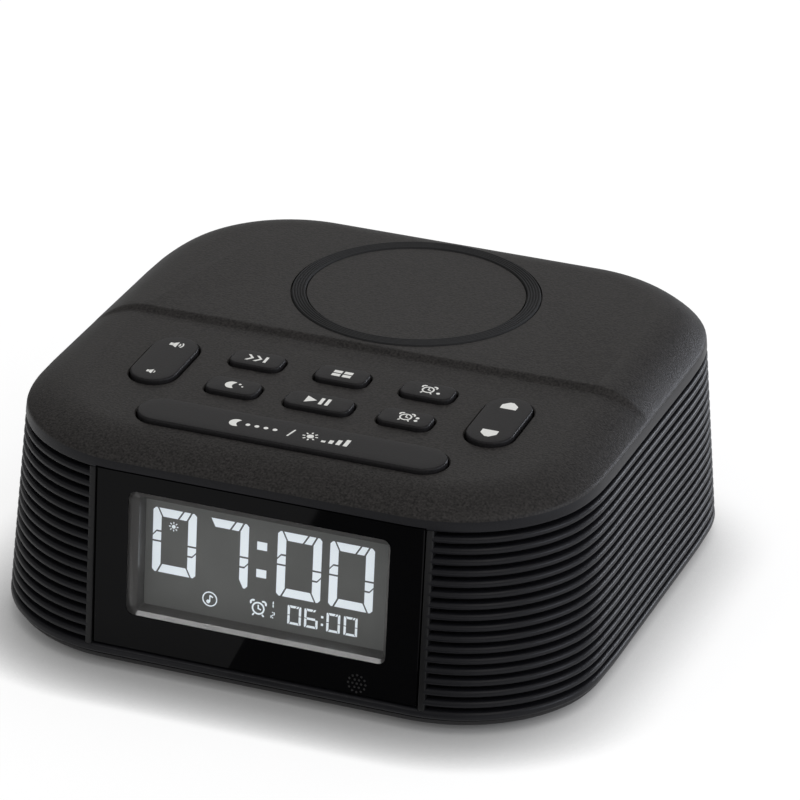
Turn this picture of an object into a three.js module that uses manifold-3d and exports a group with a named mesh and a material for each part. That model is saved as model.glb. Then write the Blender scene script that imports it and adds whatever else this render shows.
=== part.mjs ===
// Bedside alarm clock speaker with a charging deck on top.
// Millimetres, +Z up, front towards -Y, standing on its feet at z = 0, centred on the z axis.
import * as THREE from "three";
import { mergeVertices } from "three/addons/utils/BufferGeometryUtils.js";
import Module from "manifold-3d";

const wasm = await Module();
wasm.setup();

// Case: plan, draft and height stack
const BODY_WIDTH = 132;
const SIDE_TAPER = 2.9;
const TOP_WIDTH = BODY_WIDTH - 2 * SIDE_TAPER;
const CORNER_RADIUS = 32;
const CORNER_STEPS = 6;
const KEY_STEPS = 3;
const BAR_STEPS = 4;
const SMALL_STEPS = 8;
const FOOT_PROUD = 1;
const BASE_EDGE = 1.7;
const BASE_UNDERCUT = 2.2;
const PARTING_GAP = 0.3;
const LOWER_LIP = 1.75;
const GROOVE_COUNT = 17;
const GROOVE_PITCH = 2.39;
const GROOVE_WIDTH = 1.1;
const GROOVE_DEPTH = 1.3;
const UPPER_LIP = 2.9;
const SHELL_WALL = 3.4;
const TONGUE_HEIGHT = 2.4;
const FIT = 0.3;
const OVERCUT = 1;
const EDGE_BREAK = 0.6;
const PLATE_CORNER = 0.6;

// Top cover: crown, key deck and charging step
const CROWN_WIDTH = 12;
const CROWN_RINGS = 5;
const DECK_HEIGHT = 5;
const DECK_TILT = THREE.MathUtils.degToRad(1.9);
const STEP_Y = -4.3;
const STEP_RUN = 1.7;
const STEP_RISE = 0.95;
const COVER_WALL = 2.2;
const SKIRT_WALL = 1.3;

// Keys: all places on the deck, set back from the front of the case
const FRONT_Y = -BODY_WIDTH / 2;
const KEY_PITCH_X = 19.2;
const KEY_ROW_PITCH = 13.1;
const KEY_ROW_SETBACK = 35.5;
const KEY_ROW_FRONT = FRONT_Y + KEY_ROW_SETBACK;
const KEY_ROW_REAR = KEY_ROW_FRONT + KEY_ROW_PITCH;
const KEY_WIDTH = 11.4;
const PLAY_WIDTH = 14.5;
const KEY_DEPTH = 6.6;
const KEY_CORNER = 2.2;
const SNOOZE_WIDTH = 67.8;
const SNOOZE_DEPTH = 10.1;
const SNOOZE_SETBACK = 20.2;
const SNOOZE_Y = FRONT_Y + SNOOZE_SETBACK;
const SNOOZE_SWITCH_X = 22;
const ROCKER_WIDTH = 10.1;
const ROCKER_LENGTH = 21;
const ROCKER_X = 37.5;
const ROCKER_SETBACK = 41.6;
const ROCKER_Y = FRONT_Y + ROCKER_SETBACK;
const ROCKER_SWITCH_OFFSET = 7;
const KEY_PROUD = 0.9;
const KEY_DOME = 0.45;
const KEY_GAP = 0.35;
const FLANGE_REACH = 0.8;
const FLANGE_THICKNESS = 1;
const POST_RADIUS = 1;
const KEY_TRAVEL = 0.4;
const PIN_RADIUS = 0.75;
const PIN_CLEARANCE = 0.2;
const PIVOT_DROP = 1.5;
const EAR_THICKNESS = 1.6;
const EAR_DEPTH = 4.4;
const EAR_MARGIN = 1;
const WEB_INSET = 1;

// Key board and its switches
const BOARD_THICKNESS = 1.6;
const SWITCH_SIZE = 6;
const SWITCH_HEIGHT = 2.5;
const WELL_CLEARANCE = 0.35;
const KEY_BOARD_WIDTH = 87;
const KEY_BOARD_MARGIN = 10.9;
const KEY_BOARD_REAR = KEY_ROW_REAR + KEY_BOARD_MARGIN;
const STAKE_RADIUS = 1;
const STAKE_SHOULDER = 2;
const STAKE_LENGTH = 2.4;
const STAKE_INSET = 3;
const KEY_STAKE_X = KEY_BOARD_WIDTH / 2 - STAKE_INSET;
const KEY_STAKE_FRONT_Y = (KEY_ROW_FRONT + SNOOZE_Y) / 2;
const KEY_STAKE_REAR_X = 26;
const KEY_STAKE_REAR_Y = KEY_BOARD_REAR - STAKE_INSET;

// Display stack behind the front face
const LENS_WIDTH = 71.8;
const LENS_MARGIN = 0.58;
const LENS_RAISE = 0.4;
const LENS_HEIGHT = (GROOVE_COUNT - 1) * GROOVE_PITCH + 2 * LENS_MARGIN;
const LENS_THICKNESS = 1.5;
const LENS_RECESS = 0.4;
const FRAME_STRIP = 2;
const WINDOW_WIDTH = 57.4;
const WINDOW_FRAME_TOP = 4.75;
const WINDOW_FRAME_LOW = 7.05;
const WINDOW_HEIGHT = LENS_HEIGHT - WINDOW_FRAME_TOP - WINDOW_FRAME_LOW;
const WINDOW_RAISE = (WINDOW_FRAME_LOW - WINDOW_FRAME_TOP) / 2;
const WINDOW_CORNER = 1.8;
const WINDOW_BEVEL = 1.4;
const WINDOW_BEVEL_DEPTH = 0.9;
const WINDOW_DEPTH = 4.4;
const DISPLAY_MARGIN = 2.6;
const GLASS_THICKNESS = 2.2;
const BACKLIGHT_THICKNESS = 3;
const BEZEL_RIM = 1.6;
const BEZEL_FLANGE_REACH = 2.4;
const BEZEL_FLANGE_THICKNESS = 1.4;
const BEZEL_SEAT = 1.5;
const DISPLAY_BOARD_MARGIN = 1;
const MIC_X = 22.8;
const MIC_DROP = 16.2;
const MIC_RADIUS = 2;
const MIC_LENGTH = 2.4;

// Speakers, one facing each side
const SPEAKER_Y = 2;
const SPEAKER_RADIUS = 20;
const SEAT_OPENING = 16.5;
const SEAT_FACE_INSET = 6.3;
const SLOT_FIELD_RADIUS = 15.5;
const SLOT_HEIGHT = 0.8;
const FLANGE_DEPTH = 1.6;
const CONE_RADIUS = 13.2;
const SURROUND_OUTER = 16.2;
const BASKET_DEPTH = 13;
const BASKET_WALL = 1.2;
const BASKET_REAR_RADIUS = 13;
const COIL_RADIUS = 5.3;
const COIL_WALL = 0.6;
const MAGNET_RADIUS = 13.5;
const MAGNET_DEPTH = 8;
const CONE_TRAVEL = 0.8;
const CONE_DEPTH = 7;
const CONE_WALL = 0.7;
const SPEAKER_STAKE_CIRCLE = 18.2;
const SPEAKER_STAKE_RADIUS = 0.7;
const SURROUND_LEDGE = 1;
const BASKET_WINDOW = 6;
const BASKET_RING = 2;
const MAGNET_GAP_DEPTH = 5.6;
const POLE_CLEARANCE = 2;
const DUST_CAP = 2;
const ROUND_STEPS = 16;

// Charging parts under the rear deck
const CHARGE_Y = 26;
const COIL_OUTER = 22;
const COIL_INNER = 10;
const COIL_THICKNESS = 1.2;
const FERRITE_SIZE = 48;
const FERRITE_THICKNESS = 1;
const CHARGER_BOARD_WIDTH = 62;
const CHARGER_BOARD_DEPTH = 50;
const CHARGER_STAKE_X = CHARGER_BOARD_WIDTH / 2 - STAKE_INSET;
const CHARGER_STAKE_Y = CHARGER_BOARD_DEPTH / 2 - STAKE_INSET;
const RING_OUTER = 27;
const RING_INNER = 24;
const RING_SINK = 0.8;
const RING_PROUD = 0.3;

// Main board, rear panel and sockets
const MAIN_BOARD_WIDTH = 64;
const MAIN_BOARD_DEPTH = 51;
const MAIN_BOARD_SETBACK = 3.1;
const MAIN_BOARD_REAR = BODY_WIDTH / 2 - SHELL_WALL - FIT - COVER_WALL - MAIN_BOARD_SETBACK;
const MAIN_BOARD_FRONT = MAIN_BOARD_REAR - MAIN_BOARD_DEPTH;
const MAIN_STAKE_X = MAIN_BOARD_WIDTH / 2 - STAKE_INSET;
const MAIN_STAKE_FRONT_Y = MAIN_BOARD_FRONT + STAKE_INSET;
const REAR_PANEL_WIDTH = 60;
const REAR_PANEL_HEIGHT = 22;
const REAR_PANEL_Z = 19;
const REAR_PANEL_FLANGE = 2;
const REAR_PANEL_FACE = 0.6;
const SOCKET_SINK = 1;
const SOCKET_LENGTH = 12;
const SOCKET_CLEARANCE = 5;
const POWER_X = -19;
const POWER_WIDTH = 9;
const POWER_HEIGHT = 11;
const POWER_BORE = 2.9;
const POWER_PIN = 1;
const USB_X = 0;
const USB_WIDTH = 14.4;
const USB_HEIGHT = 7.2;
const USB_MOUTH_WIDTH = 12.2;
const USB_MOUTH_HEIGHT = 4.8;
const USB_TONGUE_WIDTH = 11;
const USB_TONGUE_THICKNESS = 1.8;
const AUDIO_X = 19;
const AUDIO_WIDTH = 7;
const AUDIO_HEIGHT = 6.4;
const AUDIO_BORE = 1.8;
const SOCKET_DEPTH = 9;

// Base cover, button cell, feet and case screws
const BASE_THICKNESS = 2;
const BASE_UPSTAND = 1.6;
const BASE_UPSTAND_WALL = 1.6;
const FOOT_RADIUS = 6;
const FOOT_SINK = 0.6;
const FOOT_INSET_X = 21;
const FOOT_INSET_Y = 19;
const FOOT_X = BODY_WIDTH / 2 - FOOT_INSET_X;
const FOOT_Y = BODY_WIDTH / 2 - FOOT_INSET_Y;
const SCREW_X = 48;
const SCREW_Y = 34;
const SCREW_RADIUS = 1.25;
const SCREW_HEAD_RADIUS = 2.7;
const SCREW_HEAD_HEIGHT = 1.4;
const SCREW_HEAD_SINK = 0.4;
const SCREW_LENGTH = 12;
const CROSS_LENGTH = 3.5;
const CROSS_WIDTH = 0.9;
const CROSS_DEPTH = 0.7;
const BOSS_RADIUS = 3.4;
const CELL_RADIUS = 10;
const CELL_THICKNESS = 3.2;
const CELL_Y = -22;
const CELL_LEDGE = 2;
const DOOR_RADIUS = 12.5;
const DOOR_THICKNESS = 1.5;
const DOOR_SLOT_WIDTH = 1.8;
const DOOR_SLOT_LENGTH = 12;
const DOOR_SLOT_DEPTH = 0.7;
const TAB_REACH = 1.8;
const TAB_THICKNESS = 1;
const TAB_SPAN = 0.5;
const DOOR_TURN = THREE.MathUtils.degToRad(40);
const CUP_WALL = 1.4;

// Heights that follow from the stack
const BASE_Z = FOOT_PROUD;
const SHELL_Z = BASE_Z + BASE_EDGE + PARTING_GAP;
const GROOVE_Z = SHELL_Z + LOWER_LIP + GROOVE_WIDTH / 2;
const GROOVE_TOP_Z = GROOVE_Z + (GROOVE_COUNT - 1) * GROOVE_PITCH;
const SHELL_TOP_Z = GROOVE_TOP_Z - GROOVE_WIDTH / 2;
const SKIRT_Z = GROOVE_TOP_Z + GROOVE_WIDTH / 2;
const RIM_Z = SKIRT_Z + UPPER_LIP;
const DECK_Z = RIM_Z + DECK_HEIGHT;
const WIDE_Z = SHELL_Z + EDGE_BREAK;
const MID_Z = (GROOVE_Z + GROOVE_TOP_Z) / 2 + LENS_RAISE;
const MAIN_BOARD_Z = MID_Z - MAGNET_RADIUS - FIT - BOARD_THICKNESS;
const MAIN_BOARD_TOP = MAIN_BOARD_Z + BOARD_THICKNESS;
const MAIN_STAKE_REAR_Y = BODY_WIDTH / 2 - REAR_PANEL_FACE - SOCKET_LENGTH - SOCKET_CLEARANCE;
const DECK_SLOPE = Math.tan(DECK_TILT);
const PLATFORM_Z = DECK_Z + DECK_SLOPE * STEP_Y + STEP_RISE;
const DRAFT = (BODY_WIDTH - TOP_WIDTH) / 2 / (RIM_Z - WIDE_Z);
const LEAN = Math.atan(DRAFT);
const REACH = 2 * BODY_WIDTH;

// Display depths behind the front face
const LENS_BACK = LENS_RECESS + LENS_THICKNESS;
const BEZEL_FRONT = LENS_BACK + FIT;
const WINDOW_FLOOR = BEZEL_FRONT + WINDOW_DEPTH;
const GLASS_FRONT = WINDOW_FLOOR + FIT;
const GLASS_BACK = GLASS_FRONT + GLASS_THICKNESS;
const BACKLIGHT_FRONT = GLASS_BACK + FIT;
const BACKLIGHT_BACK = BACKLIGHT_FRONT + BACKLIGHT_THICKNESS;
const RIM_BACK = BACKLIGHT_BACK;
const DISPLAY_BOARD_FRONT = RIM_BACK + FIT;
const DISPLAY_BOARD_BACK = DISPLAY_BOARD_FRONT + BOARD_THICKNESS;
const GLASS_HALF_X = WINDOW_WIDTH / 2 - WINDOW_BEVEL + DISPLAY_MARGIN;
const GLASS_HALF_H = WINDOW_HEIGHT / 2 - WINDOW_BEVEL + DISPLAY_MARGIN;
const DISPLAY_RISE = WINDOW_RAISE + GLASS_HALF_H + BEZEL_RIM;
const DISPLAY_BACK_Y = DISPLAY_BOARD_BACK + DRAFT * DISPLAY_RISE - halfAt(MID_Z);
const KEY_BOARD_FRONT = DISPLAY_BACK_Y + FIT;

/** Half the outside width of the case at a height. */
function halfAt(z) {
  return BODY_WIDTH / 2 - DRAFT * (z - WIDE_Z);
}

/** Rounded rectangle as points, counter-clockwise seen from above. */
function outline(halfX, halfY, radius, steps = CORNER_STEPS) {
  const corner = Math.min(radius, halfX, halfY);
  const centres = [[1, 1], [-1, 1], [-1, -1], [1, -1]];
  const points = [];
  centres.forEach(([sx, sy], quarter) => {
    for (let step = 0; step <= steps; step += 1) {
      const angle = (quarter + step / steps) * Math.PI / 2;
      const x = sx * (halfX - corner) + corner * Math.cos(angle);
      const y = sy * (halfY - corner) + corner * Math.sin(angle);
      points.push([x, y]);
    }
  });
  return points;
}

/** Square case outline pulled in from the outside by an inset. */
function caseOutline(half, inset) {
  return outline(half - inset, half - inset, CORNER_RADIUS - inset);
}

/** Ring of points at one height, or on a height that is a function of place. */
function ring(points, height) {
  const at = typeof height === "function" ? height : () => height;
  return points.map(([x, y]) => new THREE.Vector3(x, y, at(x, y)));
}

/** Closed solid through rings of equal count, listed from the bottom up. */
function loft(rings) {
  const count = rings[0].length;
  const positions = [];
  const faces = [];
  rings.forEach((points) => points.forEach((p) => positions.push(p.x, p.y, p.z)));
  for (let level = 0; level + 1 < rings.length; level += 1) {
    for (let i = 0; i < count; i += 1) {
      const a = level * count + i;
      const b = level * count + (i + 1) % count;
      faces.push(a, b, b + count, a, b + count, a + count);
    }
  }
  const addCap = (first, points, up) => {
    const centre = points.reduce((sum, p) => sum.add(p), new THREE.Vector3()).divideScalar(count);
    const hub = positions.length / 3;
    positions.push(centre.x, centre.y, centre.z);
    for (let i = 0; i < count; i += 1) {
      const next = (i + 1) % count;
      faces.push(hub, first + (up ? i : next), first + (up ? next : i));
    }
  };
  addCap(0, rings[0], false);
  addCap((rings.length - 1) * count, rings[rings.length - 1], true);
  const geometry = new THREE.BufferGeometry();
  geometry.setAttribute("position", new THREE.Float32BufferAttribute(positions, 3));
  geometry.setIndex(faces);
  return geometry;
}

/** Upright prism of an outline between two heights. */
function prism(points, low, high) {
  return loft([ring(points, low), ring(points, high)]);
}

/** Box between two corners. */
function box(low, high) {
  const size = high.map((value, axis) => value - low[axis]);
  const geometry = new THREE.BoxGeometry(...size);
  geometry.translate(...high.map((value, axis) => (value + low[axis]) / 2));
  return geometry;
}

/** Upright cylinder between two heights. */
function disc(x, y, radius, low, high, steps = ROUND_STEPS) {
  const geometry = new THREE.CylinderGeometry(radius, radius, high - low, steps);
  geometry.rotateX(Math.PI / 2);
  geometry.translate(x, y, (low + high) / 2);
  return geometry;
}

/** Cylinder along X between two places. */
function rodX(y, z, radius, low, high, steps = ROUND_STEPS) {
  const geometry = new THREE.CylinderGeometry(radius, radius, high - low, steps);
  geometry.rotateZ(Math.PI / 2);
  geometry.translate((low + high) / 2, y, z);
  return geometry;
}

/** Cylinder along Y between two places. */
function rodY(x, z, radius, low, high, steps = ROUND_STEPS) {
  const geometry = new THREE.CylinderGeometry(radius, radius, high - low, steps);
  geometry.translate(x, (low + high) / 2, z);
  return geometry;
}

/** Turned solid about Z: the profile is [radius, height] pairs that close on themselves or on the axis. */
function turned(profile, steps = ROUND_STEPS) {
  const geometry = new THREE.LatheGeometry(profile.map(([r, z]) => new THREE.Vector2(r, z)), steps);
  geometry.rotateX(Math.PI / 2);
  return geometry;
}

/** Closed solid for joining and cutting, moved by an optional matrix. */
function solid(geometry, matrix = null) {
  const plain = geometry.clone();
  plain.deleteAttribute("normal");
  plain.deleteAttribute("uv");
  if (matrix) {
    plain.applyMatrix4(matrix);
  }
  const merged = mergeVertices(plain, 1e-4);
  const corners = Array.from(merged.index.array);
  const triangles = [];
  for (let i = 0; i < corners.length; i += 3) {
    const [a, b, c] = corners.slice(i, i + 3);
    if (a !== b && b !== c && c !== a) {
      triangles.push(a, b, c);
    }
  }
  const made = new wasm.Manifold(new wasm.Mesh({
    numProp: 3,
    vertProperties: new Float32Array(merged.attributes.position.array),
    triVerts: new Uint32Array(triangles),
  }));
  return made.volume() < 0 ? solid(flipped(merged)) : made;
}

/** The same surface with every face turned round. */
function flipped(geometry) {
  const copy = geometry.clone();
  const corners = Array.from(copy.index.array);
  for (let i = 0; i < corners.length; i += 3) {
    [corners[i], corners[i + 1]] = [corners[i + 1], corners[i]];
  }
  copy.setIndex(corners);
  return copy;
}

/** One solid out of several. */
function joined(first, ...others) {
  return others.reduce((sum, other) => sum.add(other), first);
}

/** A solid with several others cut away. */
function cut(first, ...others) {
  return others.reduce((rest, other) => rest.subtract(other), first);
}

/** Geometry of a finished solid. */
function geometryOf(made) {
  const mesh = made.getMesh();
  const geometry = new THREE.BufferGeometry();
  const positions = new Float32Array(mesh.vertProperties.length / mesh.numProp * 3);
  for (let i = 0; i < positions.length / 3; i += 1) {
    for (let axis = 0; axis < 3; axis += 1) {
      positions[3 * i + axis] = mesh.vertProperties[mesh.numProp * i + axis];
    }
  }
  geometry.setAttribute("position", new THREE.BufferAttribute(positions, 3));
  geometry.setIndex(Array.from(mesh.triVerts));
  geometry.computeVertexNormals();
  return geometry;
}

const FINISHES = {
  softBlack: { color: 0x3a3839, roughness: 0.72, metalness: 0 },
  ribBlack: { color: 0x35353a, roughness: 0.5, metalness: 0 },
  keyBlack: { color: 0x3c3a3b, roughness: 0.68, metalness: 0 },
  glossBlack: { color: 0x101012, roughness: 0.06, metalness: 0 },
  bezelGrey: { color: 0x4c4c4e, roughness: 0.4, metalness: 0 },
  displayGrey: { color: 0x5b5c5d, roughness: 0.2, metalness: 0 },
  diffuserWhite: { color: 0xe8eef2, roughness: 0.6, metalness: 0 },
  boardGreen: { color: 0x1f5a38, roughness: 0.55, metalness: 0 },
  switchBlack: { color: 0x1b1b1d, roughness: 0.6, metalness: 0 },
  steel: { color: 0xb9bbbe, roughness: 0.35, metalness: 1 },
  copper: { color: 0xb87333, roughness: 0.4, metalness: 1 },
  ferriteGrey: { color: 0x2b2b2e, roughness: 0.8, metalness: 0 },
  frameBlack: { color: 0x242427, roughness: 0.55, metalness: 0 },
  magnetGrey: { color: 0x55575b, roughness: 0.45, metalness: 0.6 },
  coneBlack: { color: 0x19191b, roughness: 0.85, metalness: 0 },
  rubber: { color: 0x202022, roughness: 0.9, metalness: 0 },
};

/** Named mesh of a solid or a geometry with its own material. */
function piece(name, shape, finish) {
  const geometry = shape instanceof THREE.BufferGeometry ? geometryOf(solid(shape)) : geometryOf(shape);
  const mesh = new THREE.Mesh(geometry, new THREE.MeshStandardMaterial(FINISHES[finish]));
  mesh.name = name;
  return mesh;
}

// Frames that lean or tilt with the faces they carry
const deckGroup = new THREE.Group();
deckGroup.position.set(0, 0, DECK_Z);
deckGroup.rotation.x = DECK_TILT;

const frontGroup = new THREE.Group();
frontGroup.position.set(0, -halfAt(MID_Z), MID_Z);
frontGroup.rotation.x = -LEAN;

const rearGroup = new THREE.Group();
rearGroup.position.set(0, halfAt(REAR_PANEL_Z), REAR_PANEL_Z);
rearGroup.rotation.set(LEAN, 0, 0);

[deckGroup, frontGroup, rearGroup].forEach((group) => group.updateMatrix());

// Levels below the deck surface, along its normal
const FLANGE_TOP = -COVER_WALL - FIT;
const FLANGE_LOW = FLANGE_TOP - FLANGE_THICKNESS;
const SWITCH_TOP = FLANGE_LOW - KEY_TRAVEL - FIT;
const BOARD_TOP = SWITCH_TOP - SWITCH_HEIGHT;
const POST_LOW = BOARD_TOP + SWITCH_HEIGHT / 2;
const WELL_LOW = POST_LOW - KEY_TRAVEL - FIT;
const PIVOT_W = -COVER_WALL - PIVOT_DROP;
const EAR_X = ROCKER_WIDTH / 2 + KEY_GAP + EAR_THICKNESS / 2;
const EAR_LOW = PIVOT_W - PIN_RADIUS - PIN_CLEARANCE - EAR_MARGIN;

const SMALL_KEYS = [
  { name: "key_scan", x: -KEY_PITCH_X, y: KEY_ROW_REAR, width: KEY_WIDTH },
  { name: "key_mode", x: 0, y: KEY_ROW_REAR, width: KEY_WIDTH },
  { name: "key_alarm_one", x: KEY_PITCH_X, y: KEY_ROW_REAR, width: KEY_WIDTH },
  { name: "key_sleep", x: -KEY_PITCH_X, y: KEY_ROW_FRONT, width: KEY_WIDTH },
  { name: "key_play", x: 0, y: KEY_ROW_FRONT, width: PLAY_WIDTH },
  { name: "key_alarm_two", x: KEY_PITCH_X, y: KEY_ROW_FRONT, width: KEY_WIDTH },
].map((key) => ({
  ...key,
  depth: KEY_DEPTH,
  corner: KEY_CORNER,
  steps: KEY_STEPS,
  posts: [[key.x, key.y]],
}));

const SNOOZE = {
  name: "snooze_bar",
  x: 0,
  y: SNOOZE_Y,
  width: SNOOZE_WIDTH,
  depth: SNOOZE_DEPTH,
  corner: SNOOZE_DEPTH / 2,
  steps: BAR_STEPS,
  posts: [[-SNOOZE_SWITCH_X, SNOOZE_Y], [SNOOZE_SWITCH_X, SNOOZE_Y]],
};

const PRESS_KEYS = [...SMALL_KEYS, SNOOZE];

const ROCKERS = [-1, 1].map((side) => ({
  name: side < 0 ? "volume_rocker" : "tuning_rocker",
  x: side * ROCKER_X,
  y: ROCKER_Y,
  width: ROCKER_WIDTH,
  depth: ROCKER_LENGTH,
  corner: ROCKER_WIDTH / 2,
  steps: BAR_STEPS,
  posts: [-1, 1].map((end) => [side * ROCKER_X, ROCKER_Y + end * ROCKER_SWITCH_OFFSET]),
}));

const KEY_STAKES = [-1, 1].flatMap((side) => [
  [side * KEY_STAKE_X, KEY_STAKE_FRONT_Y],
  [side * KEY_STAKE_REAR_X, KEY_STAKE_REAR_Y],
]);

const CHARGER_STAKES = [-1, 1].flatMap((sx) => [-1, 1].map((sy) => [
  sx * CHARGER_STAKE_X,
  CHARGE_Y + sy * CHARGER_STAKE_Y,
]));

const MAIN_STAKES = [-1, 1].flatMap((side) => [
  [side * MAIN_STAKE_X, MAIN_STAKE_FRONT_Y],
  [side * MAIN_STAKE_X, MAIN_STAKE_REAR_Y],
]);

const SCREW_PLACES = [-1, 1].flatMap((sx) => [-1, 1].map((sy) => [sx * SCREW_X, sy * SCREW_Y]));
const FOOT_PLACES = [-1, 1].flatMap((sx) => [-1, 1].map((sy) => [sx * FOOT_X, sy * FOOT_Y]));

/** Outline of a key at its place on the deck, grown by a margin. */
function keyOutline(key, margin) {
  const points = outline(key.width / 2 + margin, key.depth / 2 + margin, key.corner + margin, key.steps);
  return points.map(([x, y]) => [x + key.x, y + key.y]);
}

/** Key cap with straight sides and a softly domed top. */
function keyCap(key, low) {
  const rings = [
    ring(keyOutline(key, 0), low),
    ring(keyOutline(key, 0), KEY_PROUD - KEY_DOME),
    ring(keyOutline(key, -KEY_DOME), KEY_PROUD - KEY_DOME / 4),
    ring(keyOutline(key, -3 * KEY_DOME), KEY_PROUD),
  ];
  return solid(loft(rings));
}

/** Post that reaches from the underside of a key into its switch. */
function keyPost([x, y], top) {
  return solid(disc(x, y, POST_RADIUS, POST_LOW, top, SMALL_STEPS));
}

/** Press key: cap, retaining flange under the cover and its posts. */
function pressKey(key) {
  const cap = keyCap(key, FLANGE_LOW);
  const flange = solid(prism(keyOutline(key, KEY_GAP + FLANGE_REACH), FLANGE_LOW, FLANGE_TOP));
  const posts = key.posts.map((place) => keyPost(place, FLANGE_TOP));
  return joined(cap, flange, ...posts);
}

/** Rocker: cap on a web that is bored for its pin, with a post at each end. */
function rocker(key) {
  const webHalf = key.width / 2 - WEB_INSET;
  const web = solid(box(
    [key.x - webHalf, key.y - EAR_DEPTH / 2, EAR_LOW],
    [key.x + webHalf, key.y + EAR_DEPTH / 2, -COVER_WALL / 2],
  ));
  const posts = key.posts.map((place) => keyPost(place, -COVER_WALL / 2));
  return cut(joined(keyCap(key, -COVER_WALL), web, ...posts), pinBore(key));
}

/** Bore for a rocker's pin, through the rocker and both of its ears. */
function pinBore(key) {
  const low = key.x - key.width;
  const high = key.x + key.width;
  return solid(rodX(key.y, PIVOT_W, PIN_RADIUS + PIN_CLEARANCE, low, high, SMALL_STEPS));
}

/** Tact switch with a well for the key post. */
function tactSwitch([x, y]) {
  const half = SWITCH_SIZE / 2;
  const body = solid(box([x - half, y - half, BOARD_TOP], [x + half, y + half, SWITCH_TOP]));
  const well = disc(x, y, POST_RADIUS + WELL_CLEARANCE, WELL_LOW, SWITCH_TOP + OVERCUT, SMALL_STEPS);
  return cut(body, solid(well));
}

/** Shouldered stake that holds a board: shoulder down to the board, tip through it. */
function stake(x, y, top, boardTop, boardLow) {
  const shoulder = solid(disc(x, y, STAKE_SHOULDER, boardTop, top, SMALL_STEPS));
  const tip = solid(disc(x, y, STAKE_RADIUS, boardLow - STAKE_LENGTH / 2, top, SMALL_STEPS));
  return joined(shoulder, tip);
}

/** Holes in a board for its stakes. */
function stakeHoles(places, low, high) {
  const radius = STAKE_RADIUS + FIT;
  return places.map(([x, y]) => solid(disc(x, y, radius, low - OVERCUT, high + OVERCUT, SMALL_STEPS)));
}

/** Crowned solid from a skirt up to a deck height that may depend on y. */
function crown(deckAt, skirtInset, low, shoulder) {
  const half = halfAt(RIM_Z);
  const rings = [
    ring(caseOutline(halfAt(low), skirtInset), low),
    ring(caseOutline(half, skirtInset), shoulder),
  ];
  for (let step = 1; step <= CROWN_RINGS; step += 1) {
    const share = step / CROWN_RINGS;
    const rise = 1 - (1 - share) ** 2;
    const height = (x, y) => shoulder + (deckAt(y) - shoulder) * rise;
    rings.push(ring(caseOutline(half, skirtInset + share * CROWN_WIDTH), height));
  }
  return solid(loft(rings));
}

/** Everything behind the step, with the sloping front of the charging deck. */
function behindStep(low, deck, platform) {
  const side = new THREE.Shape([
    new THREE.Vector2(STEP_Y, low),
    new THREE.Vector2(REACH, low),
    new THREE.Vector2(REACH, platform + DECK_HEIGHT),
    new THREE.Vector2(STEP_Y + STEP_RUN, platform + DECK_HEIGHT),
    new THREE.Vector2(STEP_Y + STEP_RUN, platform),
    new THREE.Vector2(STEP_Y, deck),
  ]);
  const geometry = new THREE.ExtrudeGeometry(side, { depth: 2 * REACH, bevelEnabled: false });
  const turn = new THREE.Matrix4().makeBasis(
    new THREE.Vector3(0, 1, 0),
    new THREE.Vector3(0, 0, 1),
    new THREE.Vector3(1, 0, 0),
  );
  geometry.applyMatrix4(turn);
  geometry.translate(-REACH, 0, 0);
  return solid(geometry);
}

/** Front deck and raised rear deck as one crowned solid, lowered for the inside by a drop. */
function crownWithStep(skirtInset, low, drop) {
  const deckAt = (y) => DECK_Z + DECK_SLOPE * y - drop;
  const platform = PLATFORM_Z - drop;
  const shoulder = RIM_Z - Math.min(drop, FIT);
  const front = crown(deckAt, skirtInset, low, shoulder);
  const rear = crown(() => platform, skirtInset, low, shoulder);
  const behind = behindStep(low - OVERCUT, deckAt(STEP_Y), platform);
  const frontKeep = solid(box([-REACH, -REACH, low - OVERCUT], [REACH, STEP_Y + STEP_RUN / 2, REACH]));
  return joined(front.intersect(frontKeep), rear.intersect(behind));
}

/** Height of the middle of the roof at a place along Y. */
function roofMiddle(y) {
  const top = y < STEP_Y ? DECK_Z + DECK_SLOPE * y : PLATFORM_Z;
  return top - COVER_WALL / 2;
}

/** Long boss from the roof of the cover down to the base, bored for a case screw. */
function caseBoss(x, y) {
  const low = BASE_Z + BASE_THICKNESS + FIT;
  return solid(disc(x, y, BOSS_RADIUS, low, roofMiddle(y), SMALL_STEPS));
}

/** Ear under the cover that carries one end of a rocker pin. */
function pinEar(x, y) {
  const half = EAR_THICKNESS / 2;
  const low = [x - half, y - EAR_DEPTH / 2, EAR_LOW];
  const high = [x + half, y + EAR_DEPTH / 2, -COVER_WALL / 2];
  return solid(box(low, high), deckGroup.matrix);
}

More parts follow.
